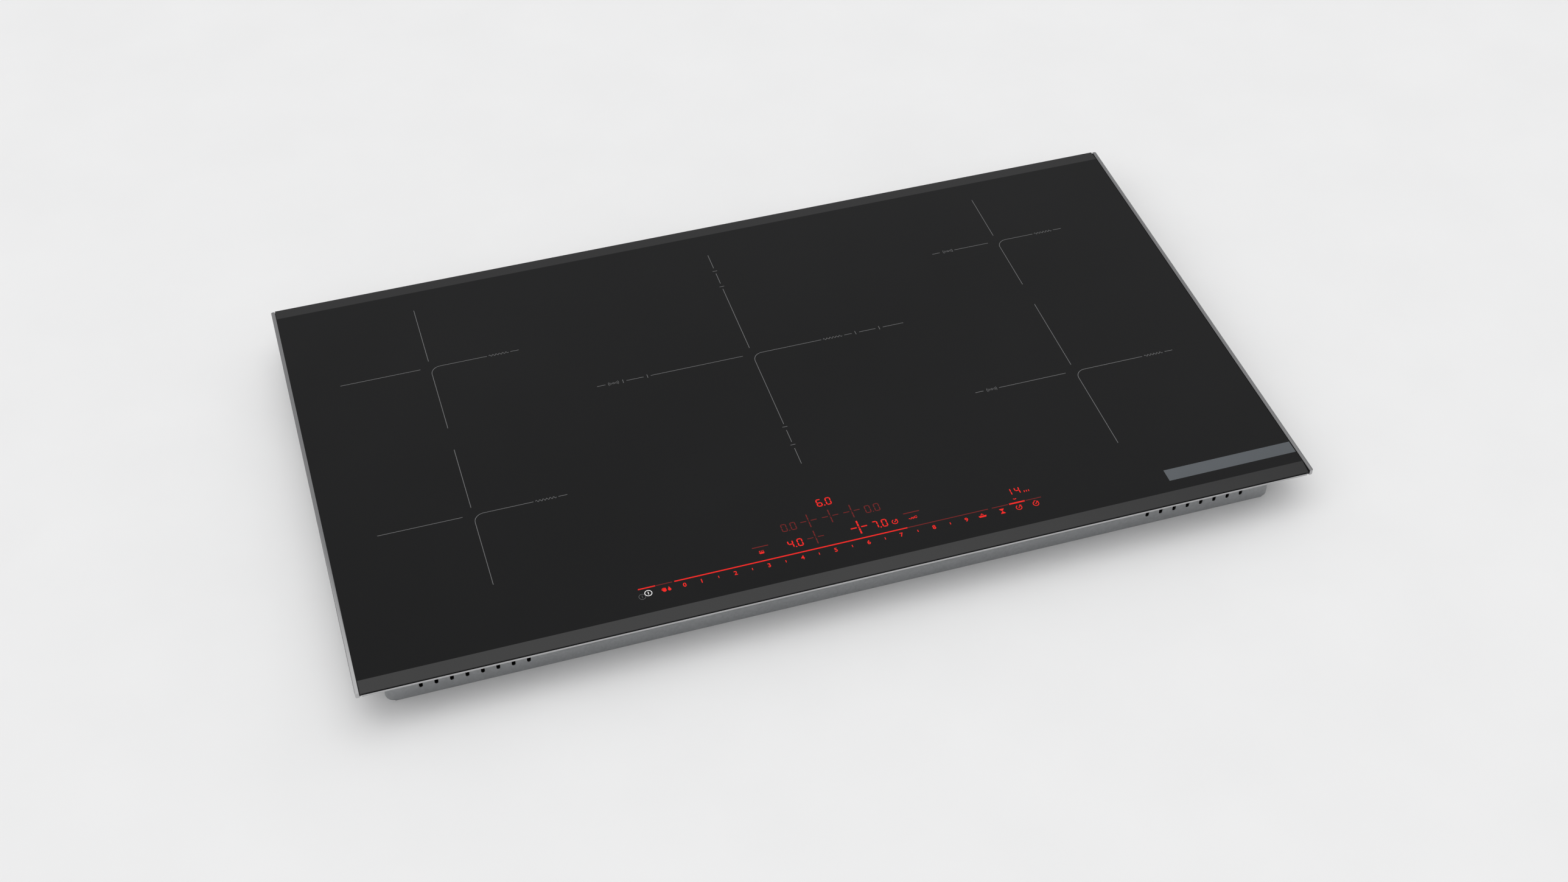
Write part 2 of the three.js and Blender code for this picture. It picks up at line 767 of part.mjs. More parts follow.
// The board, with a display block under each read-out and a sprung touch pad under each mark of the scale.
function controlBoard() {
  const { halfWidth, front, rear, bottom, wall } = CONTROL;
  const clear = wall + GAP;
  const floor = bottom + clear;
  const sheet = 1.6;
  const top = GLASS_UNDER - GAP;
  const keys = Array.from({ length: TOUCH_KEYS.count }, (_, i) =>
    cylinder(TOUCH_KEYS.first + TOUCH_KEYS.pitch * i, TOUCH_KEYS.y, TOUCH_KEYS.r, floor + 1, top, 6),
  );
  const displays = DISPLAYS.map(([x, y]) => block(x - 9, x + 9, y - 6.5, y + 6.5, floor + 1, top));
  return join(
    block(clear - halfWidth, halfWidth - clear, front + clear, rear - clear, floor, floor + sheet),
    block(-192, -180, -224, -213, floor + 1, top),
    ...keys,
    ...displays,
  );
}

// The flat lead from the control unit down to the right-hand power board.
function ribbonLead() {
  const thickness = 1;
  const start = CONTROL.rear + GAP;
  const end = POWER_BOARD.front + 1 - GAP;
  const [high, low, bend] = [38, 9, -158];
  const section = [
    [start, high],
    [bend, high],
    [bend, low + thickness],
    [end, low + thickness],
    [end, low],
    [bend - thickness, low],
    [bend - thickness, high - thickness],
    [start, high - thickness],
  ];
  return drawAlongX(section.reverse(), 195, 205);
}

function ratingPlate() {
  const { left, right, bottom, top, sheet } = RATING_PLATE;
  const back = CASE.halfDepth + GAP;
  return block(left, right, back, back + sheet, bottom, top);
}

// ---------------------------------------------------------------- assembly

place("glass_ceramic_top", glassTop(), glassBlack);
place("side_profile_left", sideProfile(-1), steelBright);
place("side_profile_right", sideProfile(1), steelBright);
place("front_strip", frontStrip(), steelBright);
place("worktop_seal", worktopSeal(), foam);
place("glass_support_frame", supportFrame(), steelZinc);
place("case_tray", caseTray(), steelZinc);
place("rating_plate", ratingPlate(), foil);

for (const clamp of CLAMPS) {
  place(`clamp_screw_${clamp.name}`, clampScrew(clamp), steelBright);
  place(`clamp_arm_${clamp.name}`, clampArm(clamp), steelZinc);
}

place("terminal_cover", terminalCover(), blackPlastic);
place("terminal_block", terminalBlock(), whitePlastic);
place("cable_gland", cableGland(), blackPlastic);
place("filter_board", filterBoard(), boardGreen);
place("filter_choke", filterChoke(), copper);

for (const [name, side] of [["left", -1], ["right", 1]]) {
  place(`power_board_${name}`, powerBoard(side), boardGreen);
  place(`heat_sink_${name}`, heatSink(side), aluminium);
  place(`blower_housing_${name}`, blowerHousing(side), blackPlastic);
  place(`blower_rotor_${name}`, blowerRotor(side), blackPlastic);
}

place("coil_carrier_plate", carrierPlate(), aluminium);
for (const zone of ZONES) {
  place(`coil_spring_${zone.name}`, springSpider(zone), steelBright);
  place(`coil_former_${zone.name}`, coilFormer(zone), blackPlastic);
  for (const turns of zone.rings) {
    place(`coil_winding_${zone.name}${turns.name}`, winding(zone, turns), copper);
  }
  place(`mica_disc_${zone.name}`, micaDisc(zone), mica);
  place(`temperature_sensor_${zone.name}`, temperatureSensor(zone), whitePlastic);
}

place("control_holder", controlHolder(), blackPlastic);
place("control_board", controlBoard(), boardGreen);
place("ribbon_lead", ribbonLead(), whitePlastic);

export default hob;
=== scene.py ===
"""The visible finish of a built-in induction cooktop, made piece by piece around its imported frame."""

import math

import bmesh
import bpy
from bpy.props import FloatProperty, FloatVectorProperty, IntProperty, PointerProperty
from mathutils import Matrix, Vector


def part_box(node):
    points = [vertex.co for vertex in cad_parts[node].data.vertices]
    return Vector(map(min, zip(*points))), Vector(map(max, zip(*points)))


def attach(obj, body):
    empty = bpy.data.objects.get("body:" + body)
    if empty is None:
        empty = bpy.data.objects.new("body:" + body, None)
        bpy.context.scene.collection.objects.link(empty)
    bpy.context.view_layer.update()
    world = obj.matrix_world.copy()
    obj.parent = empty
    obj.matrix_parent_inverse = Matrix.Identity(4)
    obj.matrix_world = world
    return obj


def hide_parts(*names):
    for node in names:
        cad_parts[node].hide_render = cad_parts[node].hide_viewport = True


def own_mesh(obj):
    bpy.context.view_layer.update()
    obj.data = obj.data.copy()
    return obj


bl_info = {
    "name": "Induction Cooktop Finish",
    "version": (1, 0, 0),
    "blender": (4, 5, 0),
    "location": "3D View > Sidebar > Cooktop",
    "description": "Builds the glass, trims, prints, case and coils of a built-in cooktop",
    "category": "Object",
}

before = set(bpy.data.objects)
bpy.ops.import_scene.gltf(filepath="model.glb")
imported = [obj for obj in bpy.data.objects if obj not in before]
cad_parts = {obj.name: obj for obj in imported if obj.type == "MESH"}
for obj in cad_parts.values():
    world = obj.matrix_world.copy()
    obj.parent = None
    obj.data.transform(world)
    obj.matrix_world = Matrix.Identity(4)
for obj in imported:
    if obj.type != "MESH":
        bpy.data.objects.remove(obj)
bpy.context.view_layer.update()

MM = 0.001
WELD = 0.001 * MM  # corners nearer than this are one corner
GLASS_LOW, GLASS_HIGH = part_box("glass_ceramic_top")
GLASS_TOP = GLASS_HIGH.z
SHEET = 1.0 * MM
CLEARANCE = 0.3 * MM
WALL_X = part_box("glass_support_frame")[1].x + CLEARANCE + SHEET
WALL_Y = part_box("glass_support_frame")[1].y + CLEARANCE + SHEET
CASE_TOP = 44.2 * MM
HINGE_Y, HINGE_Z = 240.6 * MM, 36 * MM  # where the pins of the terminal cover sit
SEAT = 0.5 * MM  # how far a fitting reaches into the wall it stands on

PLACES = ("left_front", "left_rear", "right_front", "right_rear")
ZONE_NAMES = ("left_rear", "left_front", "centre", "right_rear", "right_front")

# What is printed on the left, upper, right and lower arm of a zone's cross, outwards, in millimetres.
ARM_DIRECTIONS = ((-1, 0), (0, 1), (1, 0), (0, -1))
RINGED_ARM = [("line", 10, 106), ("tick", 110), ("line", 115, 132), ("tick", 136), ("line", 141, 163)]
SMALL_LEFT_ZONE = (
    [("line", 10, 90)],
    [("line", 10, 91)],
    [("line", 10, 57.5), ("coil", 59, 80), ("line", 81.5, 90)],
    [("line", 10, 91)],
)
ZONE_PRINT = {
    "left_rear": SMALL_LEFT_ZONE,
    "left_front": SMALL_LEFT_ZONE,
    "centre": (
        [
            *[("line", 10, 105.5), ("tick", 109), ("line", 113, 130.5), ("tick", 134)],
            *[("sensor", 137, 150.5), ("line", 152, 160.5)],
        ],
        RINGED_ARM,
        [
            *[("line", 10, 73), ("coil", 74.5, 95.5), ("line", 97.5, 105.5), ("tick", 109.5)],
            *[("line", 113.5, 131), ("tick", 135), ("line", 139, 161)],
        ],
        RINGED_ARM,
    ),
    "right_rear": (
        [("line", 10, 48), ("sensor", 49, 62), ("line", 64.5, 73)],
        [("line", 10, 74)],
        [("line", 10, 41), ("coil", 42.5, 63), ("line", 64.5, 73.5)],
        [("line", 10, 74)],
    ),
    "right_front": (
        [("line", 10, 81), ("sensor", 82, 95.5), ("line", 97.5, 106)],
        [("line", 10, 107)],
        [("line", 10, 73), ("coil", 75, 95.5), ("line", 97.5, 106)],
        [("line", 10, 107)],
    ),
}
SEGMENTS_LIT = {"0": "abcdef", "1": "bc", "4": "bcfg", "6": "acdefg", "7": "abc"}

# The control area: its rows from front to rear in millimetres, and how many places the scale has.
MARK_Y = -225.7
BASE_LINE_Y = -219.0
NEAR_READOUT_Y, MIDDLE_READOUT_Y, FAR_READOUT_Y = -206.7, -185.3, -164.2
MARKS = 19

FRONTWARDS = (math.pi / 2, 0, 0)
REARWARDS = (-math.pi / 2, 0, 0)
RIGHTWARDS = (0, math.pi / 2, 0)
LEFTWARDS = (0, -math.pi / 2, 0)


# ---------------------------------------------------------------- settings


def size(name, millimetres, description):
    """A length, shown in the scene's unit."""
    return FloatProperty(
        name=name, description=description, default=millimetres * MM, unit="LENGTH", precision=5
    )


def colour(name, value, description):
    """A colour in linear light."""
    return FloatVectorProperty(
        name=name, description=description, default=value, subtype="COLOR", size=3, min=0.0, max=1.0
    )


class CooktopRim(bpy.types.PropertyGroup):
    facet_width: size("Facet width", 14, "Width of the ground facet along front and rear")
    front_drop: size("Front facet drop", 2, "How far the front facet falls to its outer edge")
    rear_drop: size("Rear facet drop", 0.8, "How far the rear facet falls to its outer edge")
    edge_round: size("Glass edge rounding", 0.35, "Radius ground on the glass edges")
    profile_wall: size("Profile wall", 3.6, "Thickness of the steel side profiles")
    profile_corner: size("Profile corner", 1.5, "Plan radius of a profile's outer corners")
    profile_chamfer: size("Profile chamfer", 0.5, "Chamfer along the top of a profile")
    glass: colour("Glass", (0.0050, 0.0051, 0.0053), "Colour of the black glass ceramic")
    facet: colour("Ground facet", (0.0110, 0.0111, 0.0113), "Colour of the ground facets")
    steel: colour("Trim steel", (0.45, 0.45, 0.455), "Colour of the polished steel trims")


class CooktopPrint(bpy.types.PropertyGroup):
    line_width: size("Line width", 0.6, "Width of the lines of the zone crosses")
    tick_length: size("Tick length", 5, "Length of the marks that stand for the zone rings")
    elbow: size("Elbow radius", 10, "Radius where the right arm turns into the lower arm")
    layer: size("Print layer", 0.03, "Thickness of the fired print above the glass")
    enamel: colour("Enamel", (0.125, 0.125, 0.128), "Colour of the printed lines")
    band: colour("Band", (0.115, 0.127, 0.138), "Colour of the plain metallic band")


class CooktopControls(bpy.types.PropertyGroup):
    lit_marks: IntProperty(
        name="Lit marks", description="How many marks of the scale are lit", default=14, min=0, max=MARKS
    )
    mark_pitch: size("Mark pitch", 16, "Distance from one mark of the scale to the next")
    first_mark: size("First mark", -152.3, "Place of the zero of the scale")
    numeral_height: size("Numeral height", 4.6, "Height of the numerals of the scale")
    digit_width: size("Digit width", 5.4, "Width of one digit of a read-out")
    digit_height: size("Digit height", 9.6, "Height of one digit of a read-out")
    lit: colour("Lit red", (0.80, 0.016, 0.012), "Light of a lit mark")
    dim: colour("Dim red", (0.150, 0.0115, 0.0115), "Light of a mark at rest")
    white: colour("White", (0.85, 0.85, 0.85), "Light of the main switch symbol")


class CooktopCase(bpy.types.PropertyGroup):
    corner: size("Corner radius", 8, "Plan radius of the case corners")
    fold: size("Fold radius", 1.6, "Radius where the floor turns up into the walls")
    slot_width: size("Slot width", 3.5, "Width of a ventilation slot")
    slot_pitch: size("Slot pitch", 14, "Distance from slot to slot")
    screw_radius: size("Screw head", 3.2, "Radius of the case screws' heads")
    bead_height: size("Bead height", 0.8, "How far a stiffening bead stands out")
    zinc: colour("Zinc", (0.40, 0.41, 0.42), "Colour of the zinc-coated sheet")


class CooktopCoils(bpy.types.PropertyGroup):
    wire: size("Litz wire", 3.6, "Diameter of the stranded coil wire")
    gap: size("Turn gap", 0.2, "Air between one turn and the next")
    copper: colour("Copper", (0.42, 0.13, 0.045), "Colour of the lacquered copper strands")


class CooktopStage(bpy.types.PropertyGroup):
    floor: colour("Floor", (0.82, 0.82, 0.82), "Colour of the studio floor")
    horizon: colour("Horizon", (0.95, 0.95, 0.955), "Colour of the studio near the floor")
    upper_wall: colour("Upper wall", (0.43, 0.43, 0.435), "Colour of the studio above the object's sides")
    ceiling: colour("Ceiling", (1.0, 1.0, 1.0), "Colour of the bright studio ceiling")
    key_strength: FloatProperty(name="Key light", description="Strength of the large soft light", default=1.3)
    fill_strength: FloatProperty(name="Fill light", description="Strength of the opposite one", default=0.35)


def settings(group):
    return getattr(bpy.context.scene, "cooktop_" + group)


# ---------------------------------------------------------------- finishes


def wire(tree, *links):
    """Links nodes, with each link given as node, output, node, input."""
    for source, output, target, entry in links:
        tree.links.new(source.outputs[output], target.inputs[entry])


def blank_material(name):
    """A new material's node tree and shader."""
    material = bpy.data.materials.new(name)
    material.use_nodes = True
    return material.node_tree, material.node_tree.nodes["Principled BSDF"]


def pattern(tree, kind, scale, stretch=(1, 1, 1), output=0, **inputs):
    """A texture that lies still in the piece's own coordinates. Gives one of its outputs."""
    place = tree.nodes.new("ShaderNodeTexCoord")
    mapping = tree.nodes.new("ShaderNodeMapping")
    mapping.inputs["Scale"].default_value = stretch
    texture = tree.nodes.new("ShaderNodeTex" + kind)
    texture.inputs["Scale"].default_value = scale
    for name, value in inputs.items():
        texture.inputs[name].default_value = value
    wire(tree, (place, "Object", mapping, "Vector"), (mapping, "Vector", texture, "Vector"))
    return texture.outputs[output]


def tint(tree, shader, amount, dark, light, start=0.3, end=0.7, socket="Base Color"):
    """Colours the shader from dark to light by a pattern."""
    ramp = tree.nodes.new("ShaderNodeValToRGB")
    for element, position, value in zip(ramp.color_ramp.elements, (start, end), (dark, light)):
        element.position = position
        element.color = (*value[:3], 1.0)
    tree.links.new(amount, ramp.inputs["Fac"])
    tree.links.new(ramp.outputs["Color"], shader.inputs[socket])


def gloss(tree, shader, amount, smooth, rough):
    """Varies the roughness between two values by a pattern."""
    between = tree.nodes.new("ShaderNodeMapRange")
    between.inputs["To Min"].default_value = smooth
    between.inputs["To Max"].default_value = rough
    tree.links.new(amount, between.inputs["Value"])
    tree.links.new(between.outputs["Result"], shader.inputs["Roughness"])


def relief(tree, shader, amount, depth, strength=1.0):
    """Raises the surface by a pattern, with its depth in millimetres."""
    bump = tree.nodes.new("ShaderNodeBump")
    bump.inputs["Distance"].default_value = depth * MM
    bump.inputs["Strength"].default_value = strength
    tree.links.new(amount, bump.inputs["Height"])
    tree.links.new(bump.outputs["Normal"], shader.inputs["Normal"])


def shaded(value, share):
    """A colour made darker or lighter by a share."""
    return tuple(min(1.0, c * share) for c in value)


def set_values(shader, values):
    """Sets the shader's uniform values, named with _ for each space."""
    for socket, value in values.items():
        shader.inputs[socket.replace("_", " ")].default_value = value


def finish(name, base, spread=0.15, rough=(0.4, 0.5), grain=400, stretch=(1, 1, 1), depth=0.02, **values):
    """A finish that varies softly in colour, with a fine grain in its gloss and relief."""
    tree, shader = blank_material(name)
    mottle = pattern(tree, "Noise", 9.0, Detail=3.0)
    tint(tree, shader, mottle, shaded(base, 1 - spread), shaded(base, 1 + spread))
    fine = pattern(tree, "Noise", grain, stretch, Detail=4.0)
    gloss(tree, shader, fine, *rough)
    relief(tree, shader, fine, depth)
    set_values(shader, values)


def patterned(
    name, base, texture, shades, rough, depth, stops=(0.1, 0.8), grain=None, strength=1.0, **values
):
    """A finish whose colour and gloss follow one pattern, and its relief that one or a grain of its own."""
    tree, shader = blank_material(name)
    amount = pattern(tree, **texture)
    tint(tree, shader, amount, shaded(base, shades[0]), shaded(base, shades[1]), *stops)
    gloss(tree, shader, amount, *rough)
    relief(tree, shader, pattern(tree, **grain) if grain else amount, depth, strength)
    set_values(shader, values)


def circuit_board(name, board_top):
    """A green board with copper tracks under its lacquer, and dark housings above its top in millimetres."""
    tree, shader = blank_material(name)
    tracks = pattern(tree, "Brick", 60, output=1, **{"Mortar Size": 0.03})
    tint(tree, shader, tracks, (0.012, 0.075, 0.030), (0.030, 0.130, 0.055), 0.2, 0.8)
    green = shader.inputs["Base Color"].links[0].from_socket
    place = tree.nodes.new("ShaderNodeTexCoord")
    split = tree.nodes.new("ShaderNodeSeparateXYZ")
    above = tree.nodes.new("ShaderNodeMath")
    above.operation = "GREATER_THAN"
    above.inputs[1].default_value = board_top * MM + 0.1 * MM
    housing = pattern(tree, "Noise", 30, Detail=2.0)
    grey = tree.nodes.new("ShaderNodeValToRGB")
    grey.color_ramp.elements[0].color = (0.02, 0.02, 0.022, 1)
    grey.color_ramp.elements[1].color = (0.09, 0.09, 0.1, 1)
    mix = tree.nodes.new("ShaderNodeMix")
    mix.data_type = "RGBA"
    tree.links.new(housing, grey.inputs["Fac"])
    tree.links.new(green, mix.inputs[6])
    wire(
        tree,
        (place, "Object", split, 0),
        (split, "Z", above, 0),
        (above, 0, mix, "Factor"),
        (grey, "Color", mix, 7),
        (mix, 2, shader, "Base Color"),
    )
    gloss(tree, shader, housing, 0.3, 0.5)
    relief(tree, shader, tracks, 0.03)


def light_mark(name, light, body_share=0.2, flicker=0.12):
    """A mark lit from below, a little uneven from lamp to lamp."""
    tree, shader = blank_material(name)
    lamps = pattern(tree, "Wave", 420, Distortion=0.0, Detail=0.0)
    tint(tree, shader, lamps, shaded(light, 1 - flicker), light, 0.2, 0.8, "Emission Color")
    tint(tree, shader, lamps, shaded(light, body_share * 0.8), shaded(light, body_share))
    gloss(tree, shader, lamps, 0.25, 0.35)
    relief(tree, shader, lamps, 0.002)
    set_values(shader, {"Emission_Strength": 1.0, "Specular_IOR_Level": 0.2})


GLASS_CERAMIC = {
    "texture": {"kind": "Noise", "scale": 3.2, "Detail": 5.0, "Roughness": 0.6},
    "shades": (0.85, 1.2),
    "stops": (0.3, 0.7),
    "grain": {"kind": "Noise", "scale": 260, "Detail": 1.0},
    "depth": 0.001,
    "strength": 0.5,
    "IOR": 1.54,
}
POLISHED = {"spread": 0.05, "rough": (0.10, 0.2), "grain": 900, "depth": 0.0006, "Metallic": 1.0}
SPANGLED = {
    "texture": {"kind": "Voronoi", "scale": 430, "output": 1, "Randomness": 1.0},
    "shades": (0.93, 1.06),
    "stops": (0.1, 0.9),
    "rough": (0.32, 0.42),
    "grain": {"kind": "Noise", "scale": 320, "Detail": 3.0},
    "depth": 0.02,
    "strength": 0.6,
    "Metallic": 0.9,
}
STRANDED = {
    "texture": {"kind": "Wave", "scale": 900, "stretch": (1, 1, 1.6), "Distortion": 3.0, "Detail": 2.0},
    "shades": (0.45, 1.2),
    "rough": (0.3, 0.5),
    "depth": 0.08,
    "Metallic": 0.8,
}
CLOSED_FOAM = {
    "texture": {"kind": "Voronoi", "scale": 1500, "Randomness": 1.0},
    "shades": (0.6, 1.4),
    "rough": (0.8, 0.95),
    "depth": 0.1,
}
ENAMEL = {"spread": 0.06, "rough": (0.35, 0.45), "grain": 900}
BAND = {"spread": 0.08, "rough": (0.3, 0.4), "grain": 700, "stretch": (0.03, 1, 1), "depth": 0.002}
MICA = {"spread": 0.2, "rough": (0.35, 0.7), "grain": 120, "stretch": (1, 1, 4), "depth": 0.05}
ALUMINIUM = {"spread": 0.05, "rough": (0.3, 0.42), "grain": 900, "stretch": (1, 0.05, 1), "Metallic": 1.0}

# Each finish: how it is made, then its colour or the setting that holds it, then its values.
# A circuit board has the height of its top in millimetres where the others have their colour.
FINISHES = {
    "studio_floor": (
        finish, "stage.floor", {"spread": 0.01, "rough": (0.6, 0.7), "grain": 40, "depth": 0.005},
    ),
    "glass_black": (
        patterned, "rim.glass", {**GLASS_CERAMIC, "rough": (0.03, 0.07), "Specular_IOR_Level": 0.25},
    ),
    "glass_ground_facet": (
        patterned, "rim.facet", {**GLASS_CERAMIC, "rough": (0.08, 0.13), "Specular_IOR_Level": 0.5},
    ),
    "trim_steel_sides": (finish, "rim.steel", {**POLISHED, "stretch": (1, 0.02, 1)}),
    "trim_steel_front": (finish, "rim.steel", {**POLISHED, "stretch": (0.02, 1, 1)}),
    "joint_silicone": (finish, (0.006, 0.006, 0.006), {"rough": (0.45, 0.6), "Specular_IOR_Level": 0.3}),
    "enamel_grey": (finish, "print.enamel", ENAMEL),
    "enamel_dark": (finish, (0.085, 0.085, 0.088), {"spread": 0.06}),
    "metallic_band": (finish, "print.band", {**BAND, "Metallic": 0.35}),
    "mark_lit_red": (light_mark, "controls.lit", {}),
    "mark_dim_red": (light_mark, "controls.dim", {}),
    "mark_lit_white": (light_mark, "controls.white", {}),
    "zinc_coated_sheet": (patterned, "case.zinc", SPANGLED),
    "screw_steel": (finish, (0.55, 0.55, 0.53), {"rough": (0.22, 0.36), "grain": 1200, "Metallic": 1.0}),
    "spring_steel": (
        finish, (0.42, 0.42, 0.43), {"spread": 0.1, "rough": (0.25, 0.35), "grain": 900, "Metallic": 1.0},
    ),
    "black_moulding": (finish, (0.014, 0.014, 0.0145), {"rough": (0.42, 0.56), "grain": 1500}),
    "pale_moulding": (finish, (0.66, 0.65, 0.6), {"spread": 0.05, "rough": (0.4, 0.5), "grain": 1200}),
    "label_foil": (
        finish, (0.62, 0.62, 0.63), {"spread": 0.05, "rough": (0.3, 0.42), "grain": 800, "Metallic": 0.6},
    ),
    "litz_copper": (patterned, "coils.copper", STRANDED),
    "choke_copper": (patterned, "coils.copper", STRANDED),
    "mica_sheet": (finish, (0.44, 0.40, 0.33), MICA),
    "aluminium_sheet": (finish, (0.58, 0.585, 0.59), ALUMINIUM),
    "seal_foam": (patterned, (0.016, 0.016, 0.016), CLOSED_FOAM),
    "coil_former_black": (finish, (0.02, 0.02, 0.021), {"spread": 0.2, "rough": (0.5, 0.65), "grain": 700}),
    "blower_grey": (finish, (0.05, 0.05, 0.052), {"rough": (0.4, 0.5), "grain": 1200}),
    "filter_board_green": (circuit_board, 5.6, {}),
    "power_board_green": (circuit_board, 5.6, {}),
    "control_board_green": (circuit_board, 36.4, {}),
}


def paint(name):
    """The material of that name, made from the list of finishes the first time it is asked for."""
    if name not in bpy.data.materials:
        make, base, values = FINISHES[name]
        if isinstance(base, str):
            group, key = base.split(".")
            base = tuple(getattr(settings(group), key))
        make(name, base, **values)
    return bpy.data.materials[name]


# ---------------------------------------------------------------- outlines and solids


def arc(centre, radius, start=0, sweep=360, steps=28):
    """(x, y) points on an arc. A whole circle doesn't repeat its first point."""
    last = steps if sweep < 360 else steps - 1
    turns = [math.radians(start + sweep * i / steps) for i in range(last + 1)]
    return [(centre[0] + radius * math.cos(t), centre[1] + radius * math.sin(t)) for t in turns]


def around(*values, **named):
    """The points of an arc, as vectors."""
    return [Vector(point) for point in arc(*values, **named)]


def rounded_outline(x0, x1, y0, y1, radius, steps=8):
    """A rectangle with rounded corners, turning anticlockwise."""
    corners = ((x1 - radius, y0 + radius), (x1 - radius, y1 - radius), (x0 + radius, y1 - radius))
    corners += ((x0 + radius, y0 + radius),)
    return [p for i, c in enumerate(corners) for p in arc(c, radius, 90 * i - 90, 90, steps)]


def obround(low, high, width, x=0.0, steps=6):
    """An upright slot with round ends, from low to high."""
    r = width / 2
    return arc((x, high - r), r, 0, 180, steps) + arc((x, low + r), r, 180, 180, steps)


def loft(bm, rings):
    """A closed solid through rings of as many points each."""
    rings = [[bm.verts.new(point) for point in ring] for ring in rings]
    bm.faces.new(rings[0][::-1])
    bm.faces.new(rings[-1])
    for here, there in zip(rings, rings[1:]):
        for i in range(len(here)):
            j = (i + 1) % len(here)
            bm.faces.new((here[i], here[j], there[j], there[i]))


def add_plate(bm, outline, low, high, place=Matrix.Identity(4)):
    """A plate with a flat outline of (x, y) points, from low to high in Z, then put in its place."""
    loft(bm, [[place @ Vector((x, y, z)) for x, y in outline] for z in (low, high)])


def add_box(bm, low, high):
    """A block between two corners."""
    outline = [(low[0], low[1]), (high[0], low[1]), (high[0], high[1]), (low[0], high[1])]
    add_plate(bm, outline, low[2], high[2])


def add_section(bm, section, left, right):
    """A bar with a section of (y, z) points, drawn along X from left to right."""
    loft(bm, [[(x, y, z) for y, z in section] for x in (left, right)])


def add_strip(bm, points, width, low, high, closed=False):
    """A strip of even width along a flat path, from low to high in Z."""
    count = len(points)
    rings = []
    for i, point in enumerate(points):
        ends = []
        if closed or i > 0:
            ends.append((point - points[i - 1]).normalized())
        if closed or i < count - 1:
            ends.append((points[(i + 1) % count] - point).normalized())
        along = sum(ends, Vector((0, 0))).normalized()
        across = Vector((-along.y, along.x))
        square = Vector((-ends[0].y, ends[0].x))
        reach = across * (width / 2 / max(0.5, across.dot(square)))
        corners = ((point + reach, low), (point - reach, low), (point - reach, high), (point + reach, high))
        rings.append([bm.verts.new((p.x, p.y, z)) for p, z in corners])
    for i in range(count if closed else count - 1):
        here, there = rings[i], rings[(i + 1) % count]
        for k in range(4):
            bm.faces.new((here[k], here[(k + 1) % 4], there[(k + 1) % 4], there[k]))
    if not closed:
        bm.faces.new(rings[0])
        bm.faces.new(rings[-1][::-1])


def add_turned(bm, profile, segments, place=Matrix.Identity(4)):
    """A round solid about Z from (radius, height) points. It ends on the axis or closes on itself."""
    turns = [i * math.tau / segments for i in range(segments)]
    rings = []
    for radius, height in profile:
        used = turns if radius else turns[:1]
        spots = [(radius * math.cos(t), radius * math.sin(t), height) for t in used]
        rings.append([bm.verts.new(place @ Vector(spot)) for spot in spots])
    for here, there in zip(rings, rings[1:]):
        for i in range(segments):
            j = (i + 1) % segments
            corners = [here[i % len(here)], here[j % len(here)], there[j % len(there)], there[i % len(there)]]
            bm.faces.new(list(dict.fromkeys(corners)))
    bmesh.ops.remove_doubles(bm, verts=[v for ring in rings for v in ring], dist=WELD)


def bevel(bm, edges, width, segments):
    bmesh.ops.bevel(
        bm, geom=edges, offset=width, segments=segments, profile=0.5, affect="EDGES", clamp_overlap=True
    )


def round_edges(bm, width, segments=2, sharper_than=40):
    """Rounds every edge that is sharper than an angle in degrees."""
    bmesh.ops.recalc_face_normals(bm, faces=bm.faces)
    limit = math.radians(sharper_than)
    bevel(bm, [e for e in bm.edges if e.is_manifold and e.calc_face_angle() > limit], width, segments)


def merged_copy(node):
    """A CAD node's mesh with its loose triangles merged and its flat faces made whole."""
    bm = bmesh.new()
    bm.from_mesh(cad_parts[node].data)
    bmesh.ops.remove_doubles(bm, verts=bm.verts, dist=WELD)
    bmesh.ops.dissolve_limit(bm, angle_limit=math.radians(0.5), verts=bm.verts, edges=bm.edges)
    return bm


def middle_of(node):
    low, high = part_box(node)
    return (low + high) / 2


# ---------------------------------------------------------------- meshes and pieces


def soften(mesh, smooth_below=35):
    """Shades a mesh smooth over its edges below an angle in degrees."""
    mesh.shade_smooth()
    mesh.set_sharp_from_angle(angle=math.radians(smooth_below))
    return mesh


def closed_mesh(bm, name="solid", materials=(), smooth_below=35):
    """Turns a bmesh into a mesh whose faces point outwards."""
    bmesh.ops.recalc_face_normals(bm, faces=bm.faces)
    mesh = bpy.data.meshes.new(name)
    bm.to_mesh(mesh)
    bm.free()
    for material in materials:
        mesh.materials.append(material)
    return soften(mesh, smooth_below)


def holder_for(data, name="holder"):
    holder = bpy.data.objects.new(name, data)
    bpy.context.scene.collection.objects.link(holder)
    return holder


def hang(mesh, name, body, stands_for=()):
    """Puts a finished mesh in the scene as a piece that rides on a CAD body."""
    piece = holder_for(mesh, name)
    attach(piece, body)
    if stands_for:
        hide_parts(*stands_for)
    return piece


def add_piece(bm, name, body, finishes, stands_for=(), smooth_below=35):
    """Makes a piece of a bmesh, with its finishes given by name."""
    mesh = closed_mesh(bm, name, [paint(f) for f in finishes], smooth_below)
    return hang(mesh, name, body, stands_for)


def add_zinc(mesh, name):
    """Makes a zinc-coated piece of the case from a mesh."""
    mesh.materials.clear()
    mesh.materials.append(paint("zinc_coated_sheet"))
    hang(mesh, name, "case")


def evaluated_mesh(holder):
    """The holder's mesh with its modifiers carried out. The holder is then removed."""
    graph = bpy.context.evaluated_depsgraph_get()
    mesh = bpy.data.meshes.new_from_object(holder.evaluated_get(graph), depsgraph=graph)
    bpy.data.objects.remove(holder)
    return mesh


